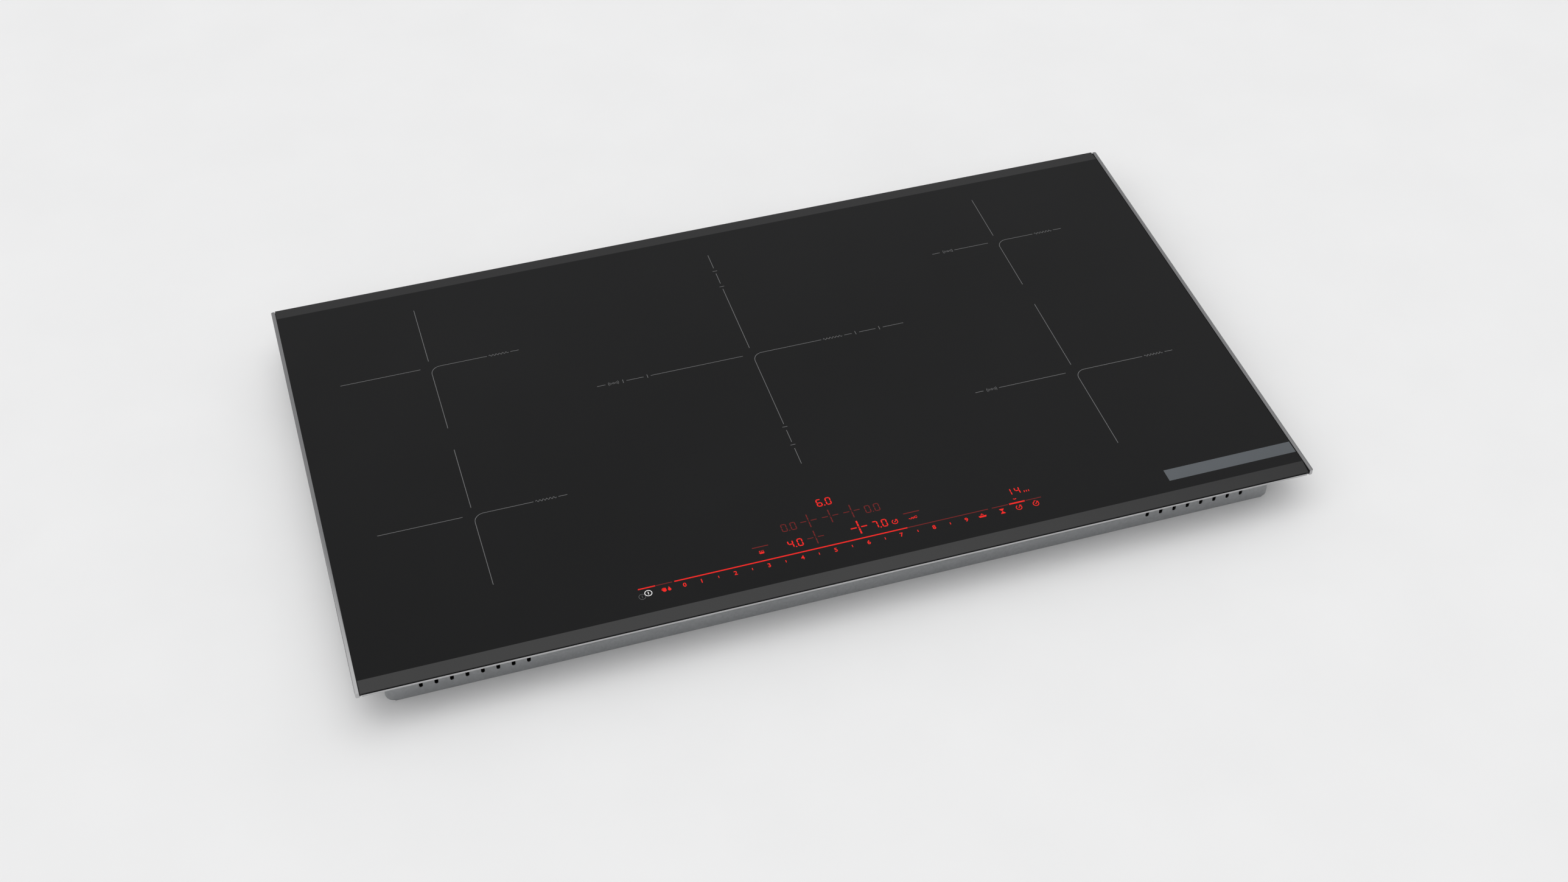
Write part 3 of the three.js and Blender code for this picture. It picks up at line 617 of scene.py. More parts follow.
def carve(base, tools):
    """The base mesh with the tool bmesh cut out of it."""
    holder = holder_for(base, "carved")
    cutter = holder_for(closed_mesh(tools), "cutter")
    modifier = holder.modifiers.new("carve", "BOOLEAN")
    modifier.operation = "DIFFERENCE"
    modifier.solver = "EXACT"
    modifier.use_self = True
    modifier.object = cutter
    mesh = evaluated_mesh(holder)
    bpy.data.objects.remove(cutter)
    return mesh


def as_bmesh(mesh):
    bm = bmesh.new()
    bm.from_mesh(mesh)
    return bm


# ---------------------------------------------------------------- repeating parts


def node_tree(name, **inputs):
    """An empty geometry tree with inputs of these kinds. Gives the tree, its entry and its exit."""
    tree = bpy.data.node_groups.new(name, "GeometryNodeTree")
    tree.interface.new_socket("Geometry", in_out="INPUT", socket_type="NodeSocketGeometry")
    for label, kind in (*inputs.items(), ("Material", "Material")):
        tree.interface.new_socket(label, in_out="INPUT", socket_type="NodeSocket" + kind)
    tree.interface.new_socket("Geometry", in_out="OUTPUT", socket_type="NodeSocketGeometry")
    return tree, tree.nodes.new("NodeGroupInput"), tree.nodes.new("NodeGroupOutput")


def close_tree(tree, source, entry, exit_node):
    """Ends a tree in real geometry with one material."""
    real = tree.nodes.new("GeometryNodeRealizeInstances")
    coat = tree.nodes.new("GeometryNodeSetMaterial")
    wire(tree, (source, 0, real, 0), (real, 0, coat, "Geometry"), (entry, "Material", coat, "Material"))
    wire(tree, (coat, 0, exit_node, 0))
    return tree


def bar_row_tree():
    """Equal bars in a straight row."""
    tree, entry, exit_node = node_tree("bar_row", Count="Int", Start="Vector", Step="Vector", Size="Vector")
    row = tree.nodes.new("GeometryNodeMeshLine")
    bar = tree.nodes.new("GeometryNodeMeshCube")
    spread = tree.nodes.new("GeometryNodeInstanceOnPoints")
    wire(
        tree,
        (entry, "Count", row, "Count"),
        (entry, "Start", row, "Start Location"),
        (entry, "Step", row, "Offset"),
        (entry, "Size", bar, "Size"),
        (row, "Mesh", spread, "Points"),
        (bar, "Mesh", spread, "Instance"),
    )
    return close_tree(tree, spread, entry, exit_node)


def rib_ring_tree():
    """Equal ribs round an axis that points along Y."""
    tree, entry, exit_node = node_tree(
        "rib_ring", Count="Int", Radius="Float", Centre="Vector", Size="Vector"
    )
    ring = tree.nodes.new("GeometryNodeMeshCircle")
    rib = tree.nodes.new("GeometryNodeMeshCube")
    spread = tree.nodes.new("GeometryNodeInstanceOnPoints")
    where = tree.nodes.new("GeometryNodeInputPosition")
    turn = tree.nodes.new("FunctionNodeAlignRotationToVector")
    turn.axis = "X"
    move = tree.nodes.new("GeometryNodeTransform")
    move.inputs["Rotation"].default_value = FRONTWARDS
    wire(
        tree,
        (entry, "Count", ring, "Vertices"),
        (entry, "Radius", ring, "Radius"),
        (entry, "Size", rib, "Size"),
        (where, 0, turn, "Vector"),
        (ring, "Mesh", spread, "Points"),
        (rib, "Mesh", spread, "Instance"),
        (turn, "Rotation", spread, "Rotation"),
        (spread, 0, move, "Geometry"),
        (entry, "Centre", move, "Translation"),
    )
    return close_tree(tree, move, entry, exit_node)


def spiral_winding_tree():
    """A wire wound in one flat layer from an inner to an outer radius."""
    tree, entry, exit_node = node_tree(
        "spiral_winding", Turns="Float", Inner="Float", Outer="Float", Wire="Float", Centre="Vector"
    )
    spiral = tree.nodes.new("GeometryNodeCurveSpiral")
    spiral.inputs["Resolution"].default_value = 44
    spiral.inputs["Height"].default_value = 0.0
    strand = tree.nodes.new("GeometryNodeCurvePrimitiveCircle")
    strand.inputs["Resolution"].default_value = 8
    sweep = tree.nodes.new("GeometryNodeCurveToMesh")
    sweep.inputs["Fill Caps"].default_value = True
    move = tree.nodes.new("GeometryNodeTransform")
    wire(
        tree,
        (entry, "Turns", spiral, "Rotations"),
        (entry, "Inner", spiral, "Start Radius"),
        (entry, "Outer", spiral, "End Radius"),
        (entry, "Wire", strand, "Radius"),
        (spiral, "Curve", sweep, "Curve"),
        (strand, "Curve", sweep, "Profile Curve"),
        (sweep, "Mesh", move, "Geometry"),
        (entry, "Centre", move, "Translation"),
    )
    return close_tree(tree, move, entry, exit_node)


def placed_copies_tree():
    """A copy of one object on every point of the mesh, turned as the point says."""
    tree, entry, exit_node = node_tree("placed_copies", Part="Object")
    part = tree.nodes.new("GeometryNodeObjectInfo")
    facing = tree.nodes.new("GeometryNodeInputNamedAttribute")
    facing.data_type = "FLOAT_VECTOR"
    facing.inputs["Name"].default_value = "turn"
    turn = tree.nodes.new("FunctionNodeEulerToRotation")
    spread = tree.nodes.new("GeometryNodeInstanceOnPoints")
    wire(
        tree,
        (entry, "Geometry", spread, "Points"),
        (entry, "Part", part, "Object"),
        (part, "Geometry", spread, "Instance"),
        (facing, "Attribute", turn, "Euler"),
        (turn, "Rotation", spread, "Rotation"),
    )
    return close_tree(tree, spread, entry, exit_node)


def grow(tree, finish_name, base=None, **values):
    """Runs a geometry tree with these inputs and gives the plain mesh that it makes."""
    holder = holder_for(base or bpy.data.meshes.new("seed"), "grown")
    modifier = holder.modifiers.new("grow", "NODES")
    modifier.node_group = tree
    values["Material"] = paint(finish_name)
    for socket in tree.interface.items_tree:
        if socket.in_out == "INPUT" and socket.name in values:
            modifier[socket.identifier] = values[socket.name]
    return evaluated_mesh(holder)


def grow_at(part, finish_name, places):
    """Copies of a part mesh at (position, rotation) places, as one mesh."""
    template = holder_for(part, "template")
    points = bpy.data.meshes.new("points")
    points.from_pydata([position for position, _ in places], [], [])
    facing = points.attributes.new("turn", "FLOAT_VECTOR", "POINT")
    for item, (_, turn) in zip(facing.data, places):
        item.vector = turn
    mesh = grow(placed_copies_tree(), finish_name, points, Part=template)
    bpy.data.objects.remove(template)
    return mesh


def bar_row(finish_name, count, start, step, bar):
    """A mesh of equal bars in a row along X."""
    row = {"Count": count, "Start": start, "Step": (step, 0.0, 0.0), "Size": bar}
    return grow(bar_row_tree(), finish_name, **row)


# ---------------------------------------------------------------- marks on the glass


class Artwork:
    """Flat marks on the glass, drawn in millimetres from an origin in metres."""

    def __init__(self, origin=(0, 0)):
        self.bm = bmesh.new()
        self.origin = Vector((origin[0], origin[1]))
        self.low = GLASS_TOP - 0.05 * MM
        self.high = GLASS_TOP + settings("print").layer

    def spot(self, point):
        return self.origin + Vector((point[0], point[1])) * MM

    def path(self, points, width, closed=False):
        add_strip(self.bm, [self.spot(p) for p in points], width * MM, self.low, self.high, closed)

    def level(self, x0, x1, y, width):
        self.path([(x0, y), (x1, y)], width)

    def ring(self, centre, radius, width, start=0, sweep=360, steps=28):
        self.path(around(centre, radius, start, sweep, steps), width, sweep >= 360)

    def area(self, points):
        add_plate(self.bm, [tuple(self.spot(p)) for p in points], self.low, self.high)

    def block(self, x0, y0, x1, y1):
        self.area([(x0, y0), (x1, y0), (x1, y1), (x0, y1)])

    def disc(self, centre, radius, steps=16):
        self.area(around(centre, radius, steps=steps))

    def text(self, words, centre, height, weight=0.12):
        """A numeral with its middle at centre."""
        letters = bpy.data.curves.new("numeral", "FONT")
        letters.body = words
        letters.size = height * MM / 0.70
        letters.offset = weight * MM
        letters.resolution_u = 4
        letters.extrude = (self.high - self.low) / 2
        mesh = evaluated_mesh(holder_for(letters, "numeral"))
        xs = [v.co.x for v in mesh.vertices]
        ys = [v.co.y for v in mesh.vertices]
        middle = Vector(((min(xs) + max(xs)) / 2, (min(ys) + max(ys)) / 2, 0))
        spot = self.spot(centre)
        mesh.transform(Matrix.Translation(Vector((spot.x, spot.y, (self.low + self.high) / 2)) - middle))
        self.bm.from_mesh(mesh)
        bpy.data.meshes.remove(mesh)

    def piece(self, name, finish_name):
        bmesh.ops.remove_doubles(self.bm, verts=self.bm.verts, dist=0.0005 * MM)
        add_piece(self.bm, name, "case", [finish_name], smooth_below=20)


def draw_arm(art, direction, marks, width, tick):
    """One arm of a zone's cross."""
    along = Vector(direction)
    across = Vector((-along.y, along.x))
    for kind, start, *rest in marks:
        if kind == "line":
            art.path([along * start, along * rest[0]], width)
        elif kind == "tick":
            art.path([along * start - across * tick / 2, along * start + across * tick / 2], width)
        elif kind == "coil":
            draw_coil_symbol(art, along, across, start, rest[0])
        elif kind == "sensor":
            draw_sensor_symbol(art, along, (start + rest[0]) / 2)


def draw_coil_symbol(art, along, across, start, end):
    """A row of loops, the general symbol for a winding."""
    loops, steps, height = 6, 60, 1.15
    points = []
    for i in range(steps + 1):
        share = i / steps
        sway = height * math.sin(share * loops * math.tau)
        points.append(along * (start + 0.5 + (end - start - 1) * share) + across * sway)
    art.path(points, 0.45)


def draw_sensor_symbol(art, along, distance):
    """A dot with waves to both sides."""
    middle = along * distance
    art.ring(middle, 1.0, 0.45, steps=14)
    facing = math.degrees(math.atan2(along.y, along.x))
    for radius in (2.4, 3.8, 5.2):
        for start in (-28, 152):
            art.ring(middle, radius, 0.4, facing + start, 56, 8)


def draw_digit(art, digit, x, y, width, height, stroke):
    """A seven-segment digit with its lower left corner at x, y."""
    gap, inset = 0.16, stroke / 2
    left, right = x + inset, x + width - inset
    low, mid, high = y + inset, y + height / 2, y + height - inset
    ends = {
        "a": ((left, high), (right, high)),
        "b": ((right, high), (right, mid)),
        "c": ((right, mid), (right, low)),
        "d": ((left, low), (right, low)),
        "e": ((left, mid), (left, low)),
        "f": ((left, high), (left, mid)),
        "g": ((left, mid), (right, mid)),
    }
    for segment in SEGMENTS_LIT[digit]:
        start, end = (Vector(p) for p in ends[segment])
        along = (end - start).normalized()
        across = Vector((-along.y, along.x)) * stroke / 2
        start, end = start + along * gap, end - along * gap
        tip = along * stroke / 2
        near, far = start + tip, end - tip
        art.area([start, near - across, far - across, end, far + across, near + across])


def draw_readout(art, text, centre, width, height, stroke):
    """A read-out with a point after its first digit where the text has one."""
    pitch = width + 3.5
    digits = text.replace(".", "")
    x = centre[0] - (pitch * (len(digits) - 1) + width) / 2
    y = centre[1] - height / 2
    for i, digit in enumerate(digits):
        draw_digit(art, digit, x + i * pitch, y, width, height, stroke)
    if "." in text:
        dot = x + width + 1.6
        half = stroke * 0.55
        art.block(dot - half, y, dot + half, y + 2 * half)


def draw_cross(art, centre, width):
    """The small cross that stands for a zone in the control area."""
    x, y = centre
    for sign in (-1, 1):
        art.level(x + sign * 2.2, x + sign * 8, y, width * 0.85)
        art.path([(x, y + sign * 1.5), (x, y + sign * 4.4)], width)
        art.path([(x, y + sign * 4.8), (x, y + sign * 8.3)], width)
    half = width * 0.45
    art.block(x - half, y - half, x + half, y + half)


def draw_clock(art, centre, radius, knob=False):
    """A dial with a hand, and a push knob on a stop clock."""
    x, y = centre
    art.ring(centre, radius, 0.75, 100 if knob else 110, 320, 26)
    art.path([(x, y), (x + radius * 0.5, y + radius * 0.5)], 0.6)
    art.disc(centre, 0.6, 10)
    art.path([(x + radius * 0.6, y + radius * 1.1), (x + radius * 1.15, y + radius * 0.75)], 0.7)
    if knob:
        art.level(x - 0.9, x + 0.9, y + radius + 0.9, 0.7)


def draw_hourglass(art, centre):
    x, y = centre
    art.area([(x - 2.2, y + 3.1), (x - 2.2, y + 2.5), (x, y), (x + 2.2, y + 2.5), (x + 2.2, y + 3.1)])
    art.area([(x - 2.2, y - 3.1), (x + 2.2, y - 3.1), (x + 2.2, y - 2.5), (x + 0.02, y), (x - 2.2, y - 2.5)])


def draw_power_symbol(art, centre, radius, width):
    x, y = centre
    art.ring(centre, radius, width, steps=36)
    art.path([(x, y - radius * 0.5), (x, y + radius * 0.5)], width)


def draw_wipe_symbol(art, centre):
    """A hand and a drop, for locking the keys while the glass is wiped."""
    x, y = centre
    art.disc((x - 2.1, y - 0.9), 1.9, 18)
    for i in range(4):
        finger = x - 3.4 + i * 0.85
        art.path([(finger, y - 0.4), (finger - 0.25 + i * 0.12, y + 2.3 - abs(i - 1.4) * 0.45)], 0.62)
    art.path([(x - 3.6, y - 1.2), (x - 4.7, y + 0.5)], 0.62)
    art.area([*around((x + 2.6, y - 1.1), 1.5, 140, 260, 16), (x + 2.6, y + 2.6)])


def draw_boost_symbol(art, centre):
    """A pan with a flame-shaped chevron over it."""
    x, y = centre
    art.area([(x - 3.9, y + 0.3), (x - 3.2, y - 1.7), (x + 3.2, y - 1.7), (x + 3.9, y + 0.3)])
    art.path([(x - 1.3, y + 1.0), (x, y + 2.6), (x + 1.3, y + 1.0)], 0.75)


def draw_warm_symbol(art, centre):
    """A shallow dish with steam rising from it."""
    x, y = centre
    art.area([(x - 2.6, y - 0.2), (x - 1.9, y - 2.1), (x + 1.9, y - 2.1), (x + 2.6, y - 0.2)])
    for offset in (-1.7, 0, 1.7):
        art.path([(x + offset + 0.35 * math.sin(t * 2.1), y + 0.2 + t * 0.42) for t in range(5)], 0.5)


def draw_pan_symbol(art, centre):
    """A pan on a wavy line."""
    x, y = centre
    art.path([(x - 4.2 + i * 0.42, y - 1.0 + 0.55 * math.sin(i * 1.05)) for i in range(21)], 0.55)
    pan = [(x - 1.6, y + 0.6), (x - 1.2, y - 0.1), (x + 1.2, y - 0.1), (x + 1.6, y + 0.6), (x + 4.2, y + 1.2)]
    art.path(pan, 0.5)


# ---------------------------------------------------------------- operators: stage and rim


class COOKTOP_OT_stage(bpy.types.Operator):
    """Makes the floor, the soft studio light and the camera"""

    bl_idname = "cooktop.stage"
    bl_label = "Stage, light and camera"

    def execute(self, context):
        stage = settings("stage")
        floor_radius, floor_level = 9, -0.0003
        bm = bmesh.new()
        bm.faces.new([bm.verts.new((x, y, floor_level)) for x, y in arc((0, 0), floor_radius, steps=96)])
        floor = holder_for(closed_mesh(bm, "floor"), "studio_floor")
        if floor.data.polygons[0].normal.z < 0:
            floor.data.flip_normals()
        floor.data.materials.append(paint("studio_floor"))

        world = bpy.data.worlds.new("studio")
        world.use_nodes = True
        tree = world.node_tree
        place = tree.nodes.new("ShaderNodeTexCoord")
        split = tree.nodes.new("ShaderNodeSeparateXYZ")
        ramp = tree.nodes.new("ShaderNodeValToRGB")
        wall = stage.upper_wall
        stops = ((0.04, stage.horizon), (0.34, wall), (0.80, wall), (0.88, stage.ceiling))
        while len(ramp.color_ramp.elements) < len(stops):
            ramp.color_ramp.elements.new(0.5)
        for element, (position, value) in zip(ramp.color_ramp.elements, stops):
            element.position = position
            element.color = (*value, 1)
        wire(tree, (place, "Generated", split, 0), (split, "Z", ramp, "Fac"))
        wire(tree, (ramp, "Color", tree.nodes["Background"], "Color"))
        context.scene.world = world

        self.soft_light("key_light", (-1.2, -1.0, 2.4), stage.key_strength)
        self.soft_light("fill_light", (1.6, 1.2, 2.0), stage.fill_strength)

        camera = bpy.data.cameras.new("camera")
        camera.lens = 50
        camera.sensor_width = 36
        camera.clip_start = 0.05
        camera.clip_end = 60
        holder = holder_for(camera, "camera")
        holder.location = (-0.4592, -1.5089, 1.5207)
        holder.rotation_euler = Vector((0.21312, 0.68214, -0.69948)).to_track_quat("-Z", "Y").to_euler()
        context.scene.camera = holder
        context.scene.view_settings.view_transform = "Standard"
        return {"FINISHED"}

    def soft_light(self, name, place, strength):
        """A broad, far light that is not itself mirrored in the glass."""
        lamp = bpy.data.lights.new(name, "SUN")
        lamp.angle = math.radians(70)
        lamp.energy = strength
        holder = holder_for(lamp, name)
        holder.location = place
        holder.rotation_euler = (-Vector(place)).to_track_quat("-Z", "Y").to_euler()
        holder.visible_glossy = False


def glass_section(sink=0.0):
    """The plate's outline across its depth, as (y, z) points, with its upper side lowered by sink."""
    rim = settings("rim")
    front, rear, top = GLASS_LOW.y, GLASS_HIGH.y, GLASS_TOP - sink
    return [
        (front, GLASS_LOW.z),
        (rear, GLASS_LOW.z),
        (rear, top - rim.rear_drop),
        (rear - rim.facet_width, top),
        (front + rim.facet_width, top),
        (front, top - rim.front_drop),
    ]


class COOKTOP_OT_glass(bpy.types.Operator):
    """Makes the glass ceramic plate with its two ground facets"""

    bl_idname = "cooktop.glass"
    bl_label = "Glass plate"

    def execute(self, context):
        bm = bmesh.new()
        add_section(bm, glass_section(), GLASS_LOW.x, GLASS_HIGH.x)
        bmesh.ops.recalc_face_normals(bm, faces=bm.faces)
        for face in bm.faces:
            if 0.95 < face.normal.z < 0.9999:
                face.material_index = 1
        round_edges(bm, settings("rim").edge_round, 3, 30)
        finishes = ["glass_black", "glass_ground_facet"]
        add_piece(bm, "glass_plate", "case", finishes, ["glass_ceramic_top"], 2)
        return {"FINISHED"}


class COOKTOP_OT_side_profiles(bpy.types.Operator):
    """Makes the two polished steel profiles beside the glass"""

    bl_idname = "cooktop.side_profiles"
    bl_label = "Side profiles"

    def execute(self, context):
        rim = settings("rim")
        lip, overlap, lip_height = 1.8 * MM, 0.6 * MM, 0.7 * MM
        for name, side in (("left", -1), ("right", 1)):
            node = "side_profile_" + name
            low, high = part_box(node)
            outer = high.x if side > 0 else -low.x
            inner = outer - rim.profile_wall
            bm = bmesh.new()
            outline = rounded_outline(inner - 5 * MM, outer, low.y, high.y, rim.profile_corner)
            outline = list(dict.fromkeys((side * max(x, inner), y) for x, y in outline))
            add_plate(bm, outline if side > 0 else outline[::-1], low.z, high.z)
            round_edges(bm, rim.profile_chamfer, 3, 60)
            ends = sorted((side * (inner - lip), side * (inner + overlap)))
            add_box(bm, (ends[0], low.y + MM, low.z), (ends[1], high.y - MM, low.z + lip_height))
            add_piece(bm, "trim_" + name, "case", ["trim_steel_sides"], [node], 25)
        return {"FINISHED"}


class COOKTOP_OT_front_strip(bpy.types.Operator):
    """Makes the thin steel angle along the front edge"""

    bl_idname = "cooktop.front_strip"
    bl_label = "Front strip"

    def execute(self, context):
        low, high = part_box("front_strip")
        inside, foot = low.y + 0.4 * MM, low.z + 0.7 * MM
        section = [(low.y, low.z), (high.y, low.z), (high.y, foot)]
        section += [(inside, foot), (inside, high.z), (low.y, high.z)]
        bm = bmesh.new()
        add_section(bm, section, low.x, high.x)
        round_edges(bm, 0.12 * MM, 2, 60)
        add_piece(bm, "trim_front", "case", ["trim_steel_front"], ["front_strip"], 25)
        return {"FINISHED"}


class COOKTOP_OT_glass_joints(bpy.types.Operator):
    """Fills the joints between the glass and the side profiles with black silicone"""

    bl_idname = "cooktop.glass_joints"
    bl_label = "Silicone joints"

    def execute(self, context):
        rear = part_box("side_profile_right")[1].y
        section = [(min(y, rear), z) for y, z in glass_section(0.35 * MM)]
        for name, side in (("left", -1), ("right", 1)):
            ends = sorted((side * (GLASS_HIGH.x - 0.05 * MM), side * (GLASS_HIGH.x + 0.45 * MM)))
            bm = bmesh.new()
            add_section(bm, section, *ends)
            add_piece(bm, "joint_" + name, "case", ["joint_silicone"], smooth_below=30)
        return {"FINISHED"}


# ---------------------------------------------------------------- operators: marks on the glass


class COOKTOP_OT_zone_print(bpy.types.Operator):
    """Prints the crosses that mark the five cooking zones"""

    bl_idname = "cooktop.zone_print"
    bl_label = "Zone crosses"

    def execute(self, context):
        look = settings("print")
        width, tick, elbow = look.line_width / MM, look.tick_length / MM, look.elbow / MM
        for zone in ZONE_NAMES:
            art = Artwork(middle_of("mica_disc_" + zone))
            for direction, marks in zip(ARM_DIRECTIONS, ZONE_PRINT[zone]):
                draw_arm(art, direction, marks, width, tick)
            art.path(around((elbow, -elbow), elbow, 90, 90, 12), width)
            art.piece("zone_print_" + zone, "enamel_grey")
        return {"FINISHED"}


class COOKTOP_OT_plain_band(bpy.types.Operator):
    """Prints the plain metallic band at the right of the control area"""

    bl_idname = "cooktop.plain_band"
    bl_label = "Metallic band"

    def execute(self, context):
        art = Artwork()
        art.block(321.5, -235.6, 453.5, -221.2)
        art.piece("metallic_band", "metallic_band")
        return {"FINISHED"}


class COOKTOP_OT_touch_scale(bpy.types.Operator):
    """Makes the lit scale with its numerals, ticks and base line"""

    bl_idname = "cooktop.touch_scale"
    bl_label = "Touch scale"

    def execute(self, context):
        look = settings("controls")
        pitch, first, height = look.mark_pitch / MM, look.first_mark / MM, look.numeral_height / MM
        lit_width, dim_width = 1.25, 0.9
        lit, dim = Artwork(), Artwork()
        level = first + pitch * (look.lit_marks - 0.5)
        lit.level(first - pitch / 2, level, BASE_LINE_Y, lit_width)
        dim.level(level, first + pitch * (MARKS - 0.5), BASE_LINE_Y, dim_width)
        lit.level(-194.3, -178.2, BASE_LINE_Y, lit_width)
        for start, end in ((-177.5, -162.3), (147.5, 163.5), (181.5, 197)):
            dim.level(start, end, BASE_LINE_Y, dim_width)
        lit.level(164.8, 180.5, BASE_LINE_Y, 1.6)
        for number in range(10):
            mark = 2 * number - 1 if number else 0
            lit.text(str(number), (first + pitch * mark, MARK_Y), height)
        lit.piece("scale_lit", "mark_lit_red")
        dim.piece("scale_dim", "mark_dim_red")
        start = ((first + 2 * pitch) * MM, MARK_Y * MM, GLASS_TOP)
        tick = (0.75 * MM, 2.6 * MM, 2 * settings("print").layer)
        ticks = bar_row("mark_lit_red", 8, start, 2 * look.mark_pitch, tick)
        hang(ticks, "scale_ticks", "case")
        return {"FINISHED"}


class COOKTOP_OT_readouts(bpy.types.Operator):
    """Makes the seven-segment read-outs and the small zone crosses"""

    bl_idname = "cooktop.readouts"
    bl_label = "Read-outs"

    def execute(self, context):
        look = settings("controls")
        width, height = look.digit_width / MM, look.digit_height / MM
        lit, dim = Artwork(), Artwork()
        near, far = NEAR_READOUT_Y, FAR_READOUT_Y
        for text, x, y in (("4.0", -41.3, near), ("6.0", -0.2, far), ("7.0", 41.0, near)):
            draw_readout(lit, text, (x, y), width, height, 1.15)
        for x in (-41.2, 40.7):
            draw_readout(dim, "0.0", (x, MIDDLE_READOUT_Y), width, height, 0.85)
        draw_readout(lit, "14", (174.6, -204.3), 4.9, 8.9, 1.0)
        for i in range(3):
            x = 184.8 + 2.2 * i
            lit.path([(x, -208.3), (x, -206.2)], 0.8)
        for x, y in ((-21.2, -183.3), (0, -183.3), (21, -183.3), (-21.2, -205)):
            draw_cross(dim, (x, y), 1.0)
        draw_cross(lit, (21, -205), 1.5)
        lit.piece("readouts_lit", "mark_lit_red")
        dim.piece("readouts_dim", "mark_dim_red")
        return {"FINISHED"}


class COOKTOP_OT_key_symbols(bpy.types.Operator):
    """Makes the symbols of the touch keys"""

    bl_idname = "cooktop.key_symbols"
    bl_label = "Key symbols"

    def execute(self, context):
        lit, dim, white, printed = Artwork(), Artwork(), Artwork(), Artwork()
        draw_wipe_symbol(lit, (-169.3, MARK_Y))
        draw_boost_symbol(lit, (135.7, -225.6))
        draw_hourglass(lit, (155.6, -225.5))
        draw_clock(lit, (172.3, -225.5), 2.7)
        draw_clock(lit, (189.3, -225.5), 2.7, knob=True)
        draw_clock(lit, (55.2, -208.3), 2.6)
        draw_warm_symbol(lit, (-74.3, -208))
        draw_pan_symbol(lit, (73, -208))
        lit.path([(170.9, -213.6), (172.4, -214.4), (173.9, -213.6)], 0.8)
        dim.level(-81.5, -66, -201.3, 1.0)
        dim.level(65.7, 81.5, -201.3, 1.0)
        draw_power_symbol(white, (-186.3, MARK_Y), 3.25, 0.62)
        draw_power_symbol(printed, (-192.6, -228.4), 3.1, 0.5)
        lit.piece("key_symbols_lit", "mark_lit_red")
        dim.piece("key_symbols_dim", "mark_dim_red")
        white.piece("main_switch_lit", "mark_lit_white")
        printed.piece("main_switch_print", "enamel_dark")
        return {"FINISHED"}


# ---------------------------------------------------------------- operators: case


def tray_block(inset, floor, top, corner, fold):
    """A block with rounded upright corners and a rounded lower edge."""
    bm = bmesh.new()
    x, y = WALL_X - inset, WALL_Y - inset
    add_plate(bm, rounded_outline(-x, x, -y, y, corner), floor, top)
    lower = [e for e in bm.edges if all(abs(v.co.z - floor) < 1e-7 for v in e.verts)]
    bevel(bm, lower, fold, 4)
    return bm


